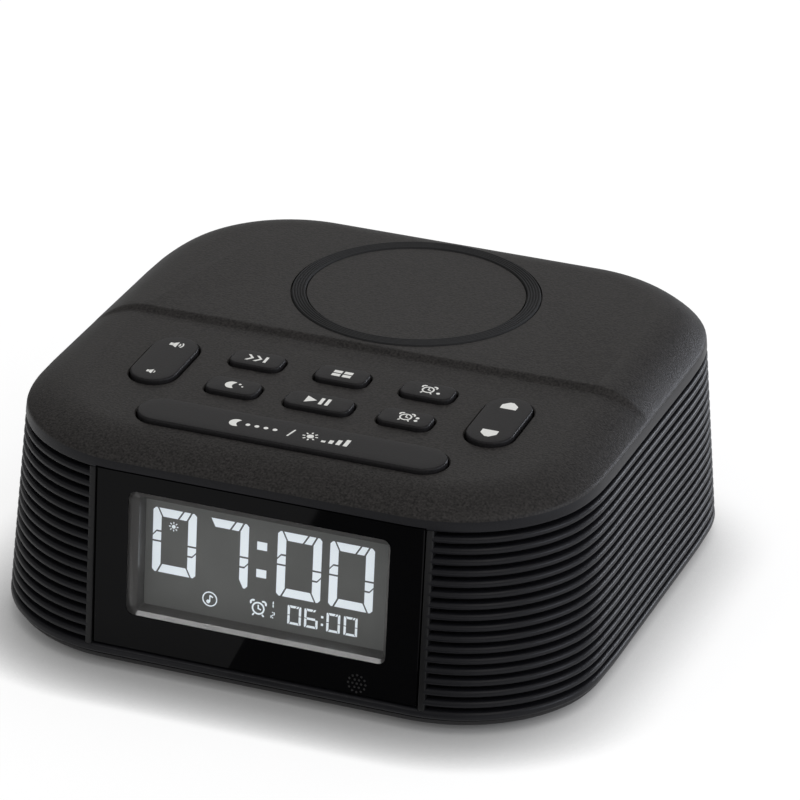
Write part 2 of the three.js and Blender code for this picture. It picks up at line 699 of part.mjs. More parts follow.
/** Top cover with key openings, lens notch, bosses, stakes and the seat of the anti-slip ring. */
function topCover() {
  const skin = cut(crownWithStep(0, SKIRT_Z, 0), crownWithStep(SKIRT_WALL, SKIRT_Z - OVERCUT, COVER_WALL));
  const bosses = SCREW_PLACES.map(([x, y]) => caseBoss(x, y));
  const ears = ROCKERS.flatMap((key) => [-1, 1].map((side) => pinEar(key.x + side * EAR_X, key.y)));
  const boardTop = BOARD_TOP;
  const keyStakes = KEY_STAKES.map(([x, y]) => {
    const made = stake(x, y, -COVER_WALL / 2, boardTop + FIT, boardTop - BOARD_THICKNESS);
    return made.transform(deckGroup.matrix.elements);
  });
  const chargerTop = PLATFORM_Z - COVER_WALL - FIT - COIL_THICKNESS - FERRITE_THICKNESS;
  const chargerStakes = CHARGER_STAKES.map(([x, y]) => (
    stake(x, y, roofMiddle(y), chargerTop, chargerTop - BOARD_THICKNESS)));
  const keyHoles = [...PRESS_KEYS, ...ROCKERS].map((key) => (
    solid(prism(keyOutline(key, KEY_GAP), -COVER_WALL - OVERCUT, KEY_PROUD + OVERCUT), deckGroup.matrix)));
  const pinBores = ROCKERS.map((key) => pinBore(key).transform(deckGroup.matrix.elements));
  const pilotLow = BASE_Z + BASE_THICKNESS;
  const pilots = SCREW_PLACES.map(([x, y]) => (
    solid(disc(x, y, SCREW_RADIUS + FIT, pilotLow, BASE_Z + SCREW_LENGTH + 2 * FIT, SMALL_STEPS))));
  const ringSeat = solid(turned([
    [RING_INNER - FIT, PLATFORM_Z - RING_SINK],
    [RING_OUTER + FIT, PLATFORM_Z - RING_SINK],
    [RING_OUTER + FIT, PLATFORM_Z + OVERCUT],
    [RING_INNER - FIT, PLATFORM_Z + OVERCUT],
    [RING_INNER - FIT, PLATFORM_Z - RING_SINK],
  ], 2 * ROUND_STEPS), new THREE.Matrix4().makeTranslation(0, CHARGE_Y, 0));
  const lensHalf = LENS_WIDTH / 2 + FIT;
  const lensNotch = solid(box(
    [-lensHalf, -REACH, 0],
    [lensHalf, SKIRT_WALL + OVERCUT, LENS_HEIGHT / 2 + FIT],
  ), frontGroup.matrix);
  const whole = joined(skin, ...bosses, ...ears, ...keyStakes, ...chargerStakes);
  return cut(whole, ...keyHoles, ...pinBores, ...pilots, ringSeat, lensNotch);
}

/** Side wall of the case as a loft: ribs between grooves outside, a tongue on top. */
function ribbedWall() {
  const rings = [
    ring(caseOutline(halfAt(WIDE_Z), EDGE_BREAK), SHELL_Z),
    ring(caseOutline(halfAt(WIDE_Z), 0), WIDE_Z),
  ];
  for (let groove = 0; groove + 1 < GROOVE_COUNT; groove += 1) {
    const z = GROOVE_Z + groove * GROOVE_PITCH;
    const lowZ = z - GROOVE_WIDTH / 2;
    const highZ = z + GROOVE_WIDTH / 2;
    rings.push(ring(caseOutline(halfAt(lowZ), 0), lowZ));
    rings.push(ring(caseOutline(halfAt(z), GROOVE_DEPTH), z));
    rings.push(ring(caseOutline(halfAt(highZ), 0), highZ));
  }
  const tongueInset = SKIRT_WALL + FIT;
  const tongueTop = SHELL_TOP_Z + TONGUE_HEIGHT;
  rings.push(ring(caseOutline(halfAt(SHELL_TOP_Z), 0), SHELL_TOP_Z));
  rings.push(ring(caseOutline(halfAt(SHELL_TOP_Z), tongueInset), SHELL_TOP_Z));
  rings.push(ring(caseOutline(halfAt(tongueTop), tongueInset), tongueTop));
  return solid(loft(rings));
}

/** Plain wall without grooves between two heights, with an inset. */
function plainWall(inset, low, high) {
  const rings = [low, high].map((z) => ring(caseOutline(halfAt(z), inset), z));
  return solid(loft(rings));
}

/** Seat ring and slots for the speaker on one side of the shell. */
function speakerSeat(side) {
  const face = halfAt(MID_Z) - SEAT_FACE_INSET;
  const turn = turnAbout(0, SPEAKER_Y, side < 0 ? Math.PI : 0);
  const outer = halfAt(WIDE_Z);
  const boss = solid(rodX(SPEAKER_Y, MID_Z, SPEAKER_RADIUS, face, outer), turn);
  const mouth = solid(rodX(SPEAKER_Y, MID_Z, SEAT_OPENING, face - OVERCUT, outer), turn);
  const stakes = [1, 3, 5, 7].map((eighth) => {
    const angle = eighth * Math.PI / 4;
    const y = SPEAKER_Y + SPEAKER_STAKE_CIRCLE * Math.cos(angle);
    const z = MID_Z + SPEAKER_STAKE_CIRCLE * Math.sin(angle);
    const tip = face - FLANGE_DEPTH - 2 * FIT;
    return solid(rodX(y, z, SPEAKER_STAKE_RADIUS, tip, face + OVERCUT, SMALL_STEPS), turn);
  });
  const slots = [];
  for (let groove = 0; groove + 1 < GROOVE_COUNT; groove += 1) {
    const z = GROOVE_Z + groove * GROOVE_PITCH;
    const reach = SLOT_FIELD_RADIUS ** 2 - (z - MID_Z) ** 2;
    if (reach > SLOT_HEIGHT) {
      const half = Math.sqrt(reach);
      const low = [face - OVERCUT, SPEAKER_Y - half, z - SLOT_HEIGHT / 2];
      const high = [outer + OVERCUT, SPEAKER_Y + half, z + SLOT_HEIGHT / 2];
      slots.push(solid(box(low, high), turn));
    }
  }
  return { boss, mouth, stakes, slots };
}

/** Ribbed shell with the display and rear openings, speaker seats and sound slots. */
function grilleShell() {
  const tongueTop = SHELL_TOP_Z + TONGUE_HEIGHT;
  const wall = ribbedWall();
  const inside = plainWall(SHELL_WALL, SHELL_Z - OVERCUT, tongueTop + OVERCUT);
  const smooth = plainWall(0, SHELL_Z + EDGE_BREAK, SHELL_TOP_Z);
  const lensHalf = LENS_WIDTH / 2 + FIT;
  const frontStrip = solid(box(
    [-lensHalf - FRAME_STRIP, -REACH, WIDE_Z],
    [lensHalf + FRAME_STRIP, 0, SHELL_TOP_Z],
  ));
  const panelHalf = REAR_PANEL_WIDTH / 2 + FIT;
  const panelRise = REAR_PANEL_HEIGHT / 2 + FIT + FRAME_STRIP;
  const rearStrip = solid(box(
    [-panelHalf - FRAME_STRIP, 0, REAR_PANEL_Z - panelRise],
    [panelHalf + FRAME_STRIP, REACH, REAR_PANEL_Z + panelRise],
  ));
  const frames = smooth.intersect(joined(frontStrip, rearStrip));
  const frontHole = solid(box(
    [-lensHalf, -REACH, -LENS_HEIGHT / 2 - FIT],
    [lensHalf, BODY_WIDTH / 4, LENS_HEIGHT / 2 + FIT],
  ), frontGroup.matrix);
  const rearHole = solid(box(
    [-panelHalf, -BODY_WIDTH / 4, -REAR_PANEL_HEIGHT / 2 - FIT],
    [panelHalf, REACH, REAR_PANEL_HEIGHT / 2 + FIT],
  ), rearGroup.matrix);
  const ribbed = cut(joined(wall, frames), inside);
  const outside = plainWall(SKIRT_WALL + FIT, SHELL_Z, tongueTop);
  const seats = [-1, 1].map((side) => speakerSeat(side));
  const bosses = seats.map((seat) => seat.boss.intersect(outside).subtract(seat.mouth));
  const stakes = seats.flatMap((seat) => seat.stakes);
  const slots = seats.flatMap((seat) => seat.slots);
  return cut(joined(ribbed, ...bosses, ...stakes), frontHole, rearHole, ...slots);
}

/** Base cover: shaped tray with upstand, board stakes, cell cup, and holes for door, screws and feet. */
function baseCover() {
  const edgeTop = BASE_Z + BASE_EDGE;
  const edgeHalf = halfAt(WIDE_Z) - EDGE_BREAK;
  const floor = BASE_Z + BASE_THICKNESS;
  const plate = solid(loft([
    ring(caseOutline(edgeHalf, BASE_UNDERCUT), BASE_Z),
    ring(caseOutline(edgeHalf, BASE_UNDERCUT / 3), BASE_Z + BASE_EDGE / 3),
    ring(caseOutline(edgeHalf, 0), edgeTop),
  ]));
  const upstandLine = caseOutline(halfAt(WIDE_Z), SHELL_WALL + FIT);
  const trayLine = caseOutline(halfAt(WIDE_Z), SHELL_WALL + FIT + BASE_UPSTAND_WALL);
  const upstand = solid(prism(upstandLine, BASE_Z + BASE_EDGE / 2, edgeTop + BASE_UPSTAND));
  const tray = solid(prism(trayLine, floor, REACH));
  const stakeTop = MAIN_BOARD_TOP + STAKE_LENGTH / 2;
  const posts = MAIN_STAKES.map(([x, y]) => joined(
    solid(disc(x, y, STAKE_SHOULDER, floor - OVERCUT, MAIN_BOARD_Z, SMALL_STEPS)),
    solid(disc(x, y, STAKE_RADIUS, floor - OVERCUT, stakeTop, SMALL_STEPS)),
  ));
  const cupTop = cellTop() + FIT;
  const cupRadius = DOOR_RADIUS + TAB_REACH + FIT + CUP_WALL;
  const cup = solid(disc(0, CELL_Y, cupRadius, floor - OVERCUT, cupTop + CUP_WALL));
  const cupInside = solid(disc(0, CELL_Y, cupRadius - CUP_WALL, floor, cupTop));
  const doorHole = solid(disc(0, CELL_Y, DOOR_RADIUS + FIT, BASE_Z - OVERCUT, floor + OVERCUT));
  const notchReach = solid(disc(0, CELL_Y, cupRadius - CUP_WALL, BASE_Z - OVERCUT, floor + OVERCUT));
  const notches = solid(box(
    [-DOOR_RADIUS - TAB_REACH - FIT, CELL_Y - tabHalf() - FIT, BASE_Z - OVERCUT],
    [DOOR_RADIUS + TAB_REACH + FIT, CELL_Y + tabHalf() + FIT, floor + OVERCUT],
  ), turnAbout(0, CELL_Y, DOOR_TURN)).intersect(notchReach);
  const headTop = BASE_Z + SCREW_HEAD_SINK + SCREW_HEAD_HEIGHT;
  const screwHoles = SCREW_PLACES.flatMap(([x, y]) => [
    solid(disc(x, y, SCREW_RADIUS + FIT, BASE_Z - OVERCUT, floor + OVERCUT, SMALL_STEPS)),
    solid(disc(x, y, SCREW_HEAD_RADIUS + FIT, BASE_Z - OVERCUT, headTop, SMALL_STEPS)),
  ]);
  const pads = SCREW_PLACES.map(([x, y]) => (
    solid(disc(x, y, BOSS_RADIUS, BASE_Z + BASE_THICKNESS / 2, floor, SMALL_STEPS))));
  const footSeats = FOOT_PLACES.map(([x, y]) => (
    solid(disc(x, y, FOOT_RADIUS + FIT, BASE_Z - OVERCUT, BASE_Z + FOOT_SINK))));
  const speakerRoom = solid(rodX(SPEAKER_Y, MID_Z, SPEAKER_RADIUS + FIT, -REACH, REACH));
  const shell = cut(joined(plate, upstand), tray, speakerRoom);
  const shape = joined(shell, ...posts, ...pads, cup);
  return cut(shape, cupInside, doorHole, notches, ...screwHoles, ...footSeats);
}

/** Height of the top of the button cell. */
function cellTop() {
  return cellLow() + CELL_THICKNESS;
}

/** Height of the underside of the button cell, on the door. */
function cellLow() {
  return BASE_Z + BASE_THICKNESS + FIT + TAB_THICKNESS;
}

/** Half the width of a bayonet tab. */
function tabHalf() {
  return DOOR_RADIUS * TAB_SPAN / 2;
}

/** Turn about an upright axis through a place. */
function turnAbout(x, y, angle) {
  const there = new THREE.Matrix4().makeTranslation(x, y, 0);
  const turn = new THREE.Matrix4().makeRotationZ(angle);
  const back = new THREE.Matrix4().makeTranslation(-x, -y, 0);
  return there.multiply(turn).multiply(back);
}

/** Quarter-turn door with a coin slot below and two bayonet tabs above the base. */
function batteryDoor() {
  const floor = BASE_Z + BASE_THICKNESS;
  const plate = solid(disc(0, CELL_Y, DOOR_RADIUS, BASE_Z, floor + FIT + TAB_THICKNESS));
  const tabs = solid(box(
    [-DOOR_RADIUS - TAB_REACH, CELL_Y - tabHalf(), floor + FIT],
    [DOOR_RADIUS + TAB_REACH, CELL_Y + tabHalf(), floor + FIT + TAB_THICKNESS],
  )).intersect(solid(disc(0, CELL_Y, DOOR_RADIUS + TAB_REACH, BASE_Z, cellTop())));
  const hollow = solid(disc(0, CELL_Y, CELL_RADIUS - CELL_LEDGE, BASE_Z + DOOR_THICKNESS, cellTop()));
  const slot = solid(box(
    [-DOOR_SLOT_LENGTH / 2, CELL_Y - DOOR_SLOT_WIDTH / 2, BASE_Z - OVERCUT],
    [DOOR_SLOT_LENGTH / 2, CELL_Y + DOOR_SLOT_WIDTH / 2, BASE_Z + DOOR_SLOT_DEPTH],
  ));
  return cut(joined(plate, tabs), hollow, slot);
}

/** Case screw with its head in the base and a cross in the head. */
function caseScrew([x, y]) {
  const headLow = BASE_Z + SCREW_HEAD_SINK;
  const headTop = headLow + SCREW_HEAD_HEIGHT - FIT / 2;
  const head = solid(disc(x, y, SCREW_HEAD_RADIUS, headLow, headTop, SMALL_STEPS));
  const shank = solid(disc(x, y, SCREW_RADIUS, headLow, BASE_Z + SCREW_LENGTH, SMALL_STEPS));
  const long = CROSS_LENGTH / 2;
  const short = CROSS_WIDTH / 2;
  const deep = headLow + CROSS_DEPTH;
  const cross = joined(
    solid(box([x - long, y - short, BASE_Z - OVERCUT], [x + long, y + short, deep])),
    solid(box([x - short, y - long, BASE_Z - OVERCUT], [x + short, y + long, deep])),
  );
  return cut(joined(head, shank), cross);
}

/** Plate in the display frame: an outline in x and height, between two depths. */
function frontPlate(points, near, far) {
  const turn = new THREE.Matrix4().makeRotationX(-Math.PI / 2);
  const geometry = prism(points.map(([x, h]) => [x, -h]).reverse(), near, far);
  return solid(geometry.applyMatrix4(turn));
}

/** Tapered window cutter in the display frame. */
function windowCutter() {
  const at = (margin, depth) => {
    const points = outline(WINDOW_WIDTH / 2 + margin, WINDOW_HEIGHT / 2 + margin, WINDOW_CORNER + margin);
    return points.map(([x, h]) => new THREE.Vector3(x, depth, h + WINDOW_RAISE)).reverse();
  };
  return solid(loft([
    at(0, BEZEL_FRONT - OVERCUT),
    at(0, BEZEL_FRONT),
    at(-WINDOW_BEVEL, BEZEL_FRONT + WINDOW_BEVEL_DEPTH),
    at(-WINDOW_BEVEL, RIM_BACK + OVERCUT),
  ]));
}

/** Rectangle in the display frame round the middle of the window. */
function windowRect(halfX, halfH) {
  return outline(halfX, halfH, PLATE_CORNER, 1).map(([x, h]) => [x, h + WINDOW_RAISE]);
}

/** Outline of the lens and of the bezel's plug in the display frame. */
function lensLine() {
  return outline(LENS_WIDTH / 2, LENS_HEIGHT / 2, PLATE_CORNER, 1);
}

/** Bezel: plug in the case opening, side flanges behind the wall, window walls and the glass pocket. */
function displayBezel() {
  const plugBack = SHELL_WALL + BEZEL_SEAT + BEZEL_FLANGE_THICKNESS;
  const plug = frontPlate(lensLine(), BEZEL_FRONT, WINDOW_FLOOR);
  const flange = frontPlate(
    outline(LENS_WIDTH / 2 + FIT + BEZEL_FLANGE_REACH, LENS_HEIGHT / 2 - SHELL_WALL, PLATE_CORNER, 1),
    SHELL_WALL + BEZEL_SEAT,
    plugBack,
  );
  const pocketX = GLASS_HALF_X + FIT;
  const pocketH = GLASS_HALF_H + FIT;
  const rimLine = windowRect(pocketX + BEZEL_RIM, pocketH + BEZEL_RIM);
  const rim = frontPlate(rimLine, WINDOW_FLOOR - OVERCUT, RIM_BACK);
  const pocket = frontPlate(windowRect(pocketX, pocketH), WINDOW_FLOOR, RIM_BACK + OVERCUT);
  const micHole = solid(rodY(MIC_X, -MIC_DROP, MIC_RADIUS + FIT, 0, RIM_BACK + OVERCUT, SMALL_STEPS));
  return cut(joined(plug, flange, rim), windowCutter(), pocket, micHole);
}

/** Speaker parts along their own axis: z points out through the shell, z = 0 on the seat face. */
function speakerFrame() {
  const front = -FIT;
  const flangeBack = front - FLANGE_DEPTH;
  const back = front - BASKET_DEPTH;
  const lip = SURROUND_OUTER + FIT;
  const body = solid(turned([
    [lip, front],
    [SPEAKER_RADIUS, front],
    [SPEAKER_RADIUS, flangeBack],
    [lip + BASKET_WALL, flangeBack],
    [BASKET_REAR_RADIUS + BASKET_WALL, back],
    [COIL_RADIUS + POLE_CLEARANCE, back],
    [COIL_RADIUS + POLE_CLEARANCE, back + BASKET_WALL],
    [BASKET_REAR_RADIUS, back + BASKET_WALL],
    [lip - SURROUND_LEDGE, flangeBack],
    [lip - SURROUND_LEDGE, front - FLANGE_DEPTH / 2],
    [lip, front - FLANGE_DEPTH / 2],
    [lip, front],
  ]));
  const holes = [1, 3, 5, 7].map((eighth) => {
    const angle = eighth * Math.PI / 4;
    const x = SPEAKER_STAKE_CIRCLE * Math.cos(angle);
    const y = SPEAKER_STAKE_CIRCLE * Math.sin(angle);
    return solid(disc(x, y, SPEAKER_STAKE_RADIUS + FIT, flangeBack - OVERCUT, front + OVERCUT, SMALL_STEPS));
  });
  const windowLow = [-REACH, -BASKET_WINDOW / 2, back + BASKET_WALL + BASKET_RING];
  const windowHigh = [REACH, BASKET_WINDOW / 2, flangeBack - BASKET_RING];
  const windows = [0, 1].map((turn) => (
    solid(box(windowLow, windowHigh), turnAbout(0, 0, turn * Math.PI / 2))));
  return cut(body, ...holes, ...windows);
}

/** Magnet with the ring gap that the voice coil moves in. */
function speakerMagnet() {
  const front = -FIT - BASKET_DEPTH;
  const back = front - MAGNET_DEPTH;
  const inner = COIL_RADIUS - COIL_WALL - FIT;
  const outer = COIL_RADIUS + FIT;
  return solid(turned([
    [0, back],
    [MAGNET_RADIUS, back],
    [MAGNET_RADIUS, front],
    [outer, front],
    [outer, front - MAGNET_GAP_DEPTH],
    [inner, front - MAGNET_GAP_DEPTH],
    [inner, front],
    [0, front],
  ]));
}

/** Cone with dust cap and voice coil. */
function speakerCone() {
  const rim = -FIT - FLANGE_DEPTH / 2;
  const neck = rim - CONE_DEPTH;
  const coilLow = -FIT - BASKET_DEPTH - MAGNET_GAP_DEPTH + CONE_TRAVEL + FIT;
  return solid(turned([
    [0, neck + DUST_CAP],
    [COIL_RADIUS - COIL_WALL, neck],
    [COIL_RADIUS - COIL_WALL, coilLow],
    [COIL_RADIUS, coilLow],
    [COIL_RADIUS, neck],
    [CONE_RADIUS, rim - CONE_WALL],
    [CONE_RADIUS, rim],
    [COIL_RADIUS, neck + 2 * CONE_WALL],
    [COIL_RADIUS / 2, neck + CONE_WALL + DUST_CAP],
    [0, neck + 2 * CONE_WALL + DUST_CAP],
  ]));
}

/** Rubber roll between cone and frame. */
function speakerSurround() {
  const seat = -FIT - FLANGE_DEPTH / 2;
  const inner = CONE_RADIUS + FIT;
  const middle = (inner + SURROUND_OUTER) / 2;
  const roll = (SURROUND_OUTER - inner) / 2;
  return solid(turned([
    [inner, seat],
    [SURROUND_OUTER, seat],
    [SURROUND_OUTER, seat + CONE_WALL],
    [middle + roll * 0.6, seat + roll * 0.8],
    [middle, seat + roll],
    [middle - roll * 0.6, seat + roll * 0.8],
    [inner, seat + CONE_WALL],
    [inner, seat],
  ]));
}

/** Depth along Y of a socket's face, a little inside the rear panel. */
function socketFace(z) {
  return halfAt(z) - REAR_PANEL_FACE - SOCKET_SINK;
}

const SOCKETS = [
  { name: "power_inlet", x: POWER_X, width: POWER_WIDTH, height: POWER_HEIGHT },
  { name: "charging_outlet", x: USB_X, width: USB_WIDTH, height: USB_HEIGHT },
  { name: "audio_inlet", x: AUDIO_X, width: AUDIO_WIDTH, height: AUDIO_HEIGHT },
];

/** Socket block standing on the main board, grown by a margin. */
function socketBlock(socket, margin, near, far) {
  const half = socket.width / 2 + margin;
  return solid(box(
    [socket.x - half, near, MAIN_BOARD_TOP - margin],
    [socket.x + half, far, MAIN_BOARD_TOP + socket.height + margin],
  ));
}

/** Block of a socket from its face inwards. */
function socketBody(socket) {
  const face = socketFace(MAIN_BOARD_TOP + socket.height);
  return { face, body: socketBlock(socket, 0, face - SOCKET_LENGTH, face) };
}

/** Barrel socket with a centre pin. */
function powerInlet(socket) {
  const { face, body } = socketBody(socket);
  const z = MAIN_BOARD_TOP + socket.height / 2;
  const floor = face - SOCKET_DEPTH;
  const bore = solid(rodY(socket.x, z, POWER_BORE, floor, face + OVERCUT, 2 * SMALL_STEPS));
  const pin = solid(rodY(socket.x, z, POWER_PIN, floor - OVERCUT, face - SOCKET_SINK, SMALL_STEPS));
  return joined(cut(body, bore), pin);
}

/** Flat rectangular outlet with its contact tongue. */
function chargingOutlet(socket) {
  const { face, body } = socketBody(socket);
  const z = MAIN_BOARD_TOP + socket.height / 2;
  const mouth = solid(box(
    [socket.x - USB_MOUTH_WIDTH / 2, face - SOCKET_DEPTH, z - USB_MOUTH_HEIGHT / 2],
    [socket.x + USB_MOUTH_WIDTH / 2, face + OVERCUT, z + USB_MOUTH_HEIGHT / 2],
  ));
  const tongue = solid(box(
    [socket.x - USB_TONGUE_WIDTH / 2, face - SOCKET_DEPTH - OVERCUT, z],
    [socket.x + USB_TONGUE_WIDTH / 2, face - SOCKET_SINK, z + USB_TONGUE_THICKNESS],
  ));
  return joined(cut(body, mouth), tongue);
}

/** Round audio socket. */
function audioInlet(socket) {
  const { face, body } = socketBody(socket);
  const z = MAIN_BOARD_TOP + socket.height / 2;
  return cut(body, solid(rodY(socket.x, z, AUDIO_BORE, face - SOCKET_DEPTH, face + OVERCUT, SMALL_STEPS)));
}

/** Rear panel: plug and flange in the leaning rear frame, with straight holes for the sockets. */
function rearPanel() {
  const half = REAR_PANEL_WIDTH / 2;
  const rise = REAR_PANEL_HEIGHT / 2;
  const seat = -SHELL_WALL - FIT;
  const plug = solid(box([-half, seat, -rise], [half, -REAR_PANEL_FACE, rise]));
  const reach = REAR_PANEL_FLANGE + FIT;
  const flange = solid(box(
    [-half - reach, seat - COVER_WALL, -rise - reach],
    [half + reach, seat, rise + reach],
  ));
  const back = rearGroup.matrix.clone().invert();
  const holes = SOCKETS.map((socket) => socketBlock(socket, FIT, 0, REACH).transform(back.elements));
  return cut(joined(plug, flange), ...holes);
}

/** Board with stake holes between two corners. */
function board(low, high, stakes) {
  return cut(solid(box(low, high)), ...stakeHoles(stakes, low[2], high[2]));
}

// Assembly
const clock = new THREE.Group();
clock.add(piece("grille_shell", grilleShell(), "ribBlack"));
clock.add(piece("top_cover", topCover(), "softBlack"));
clock.add(piece("base_cover", baseCover(), "frameBlack"));

FOOT_PLACES.forEach(([x, y], index) => {
  clock.add(piece(`foot_${index + 1}`, disc(x, y, FOOT_RADIUS, 0, BASE_Z + FOOT_SINK), "rubber"));
});
SCREW_PLACES.forEach((place, index) => {
  clock.add(piece(`case_screw_${index + 1}`, caseScrew(place), "steel"));
});

clock.add(piece("battery_door", batteryDoor(), "frameBlack"));
clock.add(piece("button_cell", disc(0, CELL_Y, CELL_RADIUS, cellLow(), cellTop()), "steel"));

// Keys, rockers and switches on the tilted deck
PRESS_KEYS.forEach((key) => deckGroup.add(piece(key.name, pressKey(key), "keyBlack")));
ROCKERS.forEach((key) => {
  deckGroup.add(piece(key.name, rocker(key), "keyBlack"));
  const half = EAR_X + EAR_THICKNESS / 2;
  const pin = rodX(key.y, PIVOT_W, PIN_RADIUS, key.x - half, key.x + half, SMALL_STEPS);
  deckGroup.add(piece(`${key.name}_pin`, pin, "steel"));
});
[...PRESS_KEYS, ...ROCKERS].forEach((key) => {
  key.posts.forEach((place, index) => {
    const suffix = key.posts.length > 1 ? `_${index + 1}` : "";
    const name = `switch_${key.name.replace("key_", "")}${suffix}`;
    deckGroup.add(piece(name, tactSwitch(place), "switchBlack"));
  });
});
deckGroup.add(piece("key_board", board(
  [-KEY_BOARD_WIDTH / 2, KEY_BOARD_FRONT, BOARD_TOP - BOARD_THICKNESS],
  [KEY_BOARD_WIDTH / 2, KEY_BOARD_REAR, BOARD_TOP],
  KEY_STAKES,
), "boardGreen"));
clock.add(deckGroup);

// Display stack in the leaning front frame
frontGroup.add(piece("display_lens", frontPlate(lensLine(), LENS_RECESS, LENS_BACK), "glossBlack"));
frontGroup.add(piece("display_bezel", displayBezel(), "bezelGrey"));
const glassRect = windowRect(GLASS_HALF_X, GLASS_HALF_H);
frontGroup.add(piece("display_glass", frontPlate(glassRect, GLASS_FRONT, GLASS_BACK), "displayGrey"));
const backlight = frontPlate(glassRect, BACKLIGHT_FRONT, BACKLIGHT_BACK);
frontGroup.add(piece("display_backlight", backlight, "diffuserWhite"));
const displayBoardRect = windowRect(
  GLASS_HALF_X + FIT + BEZEL_RIM - DISPLAY_BOARD_MARGIN,
  GLASS_HALF_H + FIT + BEZEL_RIM - DISPLAY_BOARD_MARGIN,
);
const displayBoard = frontPlate(displayBoardRect, DISPLAY_BOARD_FRONT, DISPLAY_BOARD_BACK);
frontGroup.add(piece("display_board", displayBoard, "boardGreen"));
const microphone = rodY(MIC_X, -MIC_DROP, MIC_RADIUS, BEZEL_FRONT, BEZEL_FRONT + MIC_LENGTH, SMALL_STEPS);
frontGroup.add(piece("microphone", microphone, "steel"));
clock.add(frontGroup);

// Charging stack hung under the rear deck
const coilTop = PLATFORM_Z - COVER_WALL - FIT;
const coilLow = coilTop - COIL_THICKNESS;
const ferriteLow = coilLow - FERRITE_THICKNESS;
const coil = piece("charging_coil", turned([
  [COIL_INNER, coilLow],
  [COIL_OUTER, coilLow],
  [COIL_OUTER, coilTop],
  [COIL_INNER, coilTop],
  [COIL_INNER, coilLow],
]), "copper");
coil.position.y = CHARGE_Y;
clock.add(coil);
clock.add(piece("coil_ferrite", box(
  [-FERRITE_SIZE / 2, CHARGE_Y - FERRITE_SIZE / 2, ferriteLow],
  [FERRITE_SIZE / 2, CHARGE_Y + FERRITE_SIZE / 2, coilLow],
), "ferriteGrey"));
clock.add(piece("charger_board", board(
  [-CHARGER_BOARD_WIDTH / 2, CHARGE_Y - CHARGER_BOARD_DEPTH / 2, ferriteLow - BOARD_THICKNESS],
  [CHARGER_BOARD_WIDTH / 2, CHARGE_Y + CHARGER_BOARD_DEPTH / 2, ferriteLow],
  CHARGER_STAKES,
), "boardGreen"));
const slipRing = piece("anti_slip_ring", turned([
  [RING_INNER, PLATFORM_Z - RING_SINK],
  [RING_OUTER, PLATFORM_Z - RING_SINK],
  [RING_OUTER, PLATFORM_Z + RING_PROUD],
  [RING_INNER, PLATFORM_Z + RING_PROUD],
  [RING_INNER, PLATFORM_Z - RING_SINK],
], 2 * ROUND_STEPS), "rubber");
slipRing.position.y = CHARGE_Y;
clock.add(slipRing);

// Main board, sockets and rear panel
clock.add(piece("main_board", board(
  [-MAIN_BOARD_WIDTH / 2, MAIN_BOARD_FRONT, MAIN_BOARD_Z],
  [MAIN_BOARD_WIDTH / 2, MAIN_BOARD_REAR, MAIN_BOARD_TOP],
  MAIN_STAKES,
), "boardGreen"));
clock.add(piece("power_inlet", powerInlet(SOCKETS[0]), "frameBlack"));
clock.add(piece("charging_outlet", chargingOutlet(SOCKETS[1]), "steel"));
clock.add(piece("audio_inlet", audioInlet(SOCKETS[2]), "frameBlack"));
rearGroup.add(piece("rear_panel", rearPanel(), "frameBlack"));
clock.add(rearGroup);

// One speaker behind each side wall
[-1, 1].forEach((side) => {
  const name = side < 0 ? "left" : "right";
  const group = new THREE.Group();
  group.position.set(side * (halfAt(MID_Z) - SEAT_FACE_INSET), SPEAKER_Y, MID_Z);
  group.rotation.y = side * Math.PI / 2;
  group.add(piece(`${name}_speaker_frame`, speakerFrame(), "frameBlack"));
  group.add(piece(`${name}_speaker_magnet`, speakerMagnet(), "magnetGrey"));
  group.add(piece(`${name}_speaker_cone`, speakerCone(), "coneBlack"));
  group.add(piece(`${name}_speaker_surround`, speakerSurround(), "rubber"));
  clock.add(group);
});

export default clock;
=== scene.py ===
"""Looks of a bedside alarm clock speaker: ribbed case, crowned cover, keys, lit display, sockets and base.

Sizes in the classes are millimetres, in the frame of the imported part: +Z up, front towards -Y.
They become metres when a sketch is turned into a piece.
"""

import logging
import math
from dataclasses import dataclass, field
from enum import Enum
from typing import Callable, Iterable, Sequence

import bmesh
import bpy
from mathutils import Matrix, Vector


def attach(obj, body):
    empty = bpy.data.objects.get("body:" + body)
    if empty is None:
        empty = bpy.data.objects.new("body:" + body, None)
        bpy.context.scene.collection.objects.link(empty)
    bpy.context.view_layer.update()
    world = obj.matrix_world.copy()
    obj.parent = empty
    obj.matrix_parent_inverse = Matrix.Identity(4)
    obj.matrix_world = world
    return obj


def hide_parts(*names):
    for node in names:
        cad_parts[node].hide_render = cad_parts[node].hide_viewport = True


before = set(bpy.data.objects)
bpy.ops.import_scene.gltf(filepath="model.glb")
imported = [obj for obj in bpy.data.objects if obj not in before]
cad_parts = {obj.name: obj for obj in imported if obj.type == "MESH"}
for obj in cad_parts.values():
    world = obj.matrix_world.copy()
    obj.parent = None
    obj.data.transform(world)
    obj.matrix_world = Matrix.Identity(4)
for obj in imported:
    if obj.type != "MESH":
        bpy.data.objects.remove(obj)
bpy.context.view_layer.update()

LOG = logging.getLogger("clock_speaker")
MM = 0.001
SHARP_ANGLE = math.radians(32)
MERGE_DISTANCE = 1e-4
CUT_DISTANCE = 1e-5
# Ramp positions between which the tone runs, and shares of the roughness between which the gloss runs
TONE_SPAN = (0.3, 0.7)
GLOSS_SPAN = (0.9, 1.1)

Point = tuple[float, float]
Triple = tuple[float, float, float]
Ring = list[Vector]
Rim = list[bmesh.types.BMVert]
Inputs = dict[str | int, object]
Object = bpy.types.Object
NodeSocket = bpy.types.NodeSocket


# Node trees and finishes


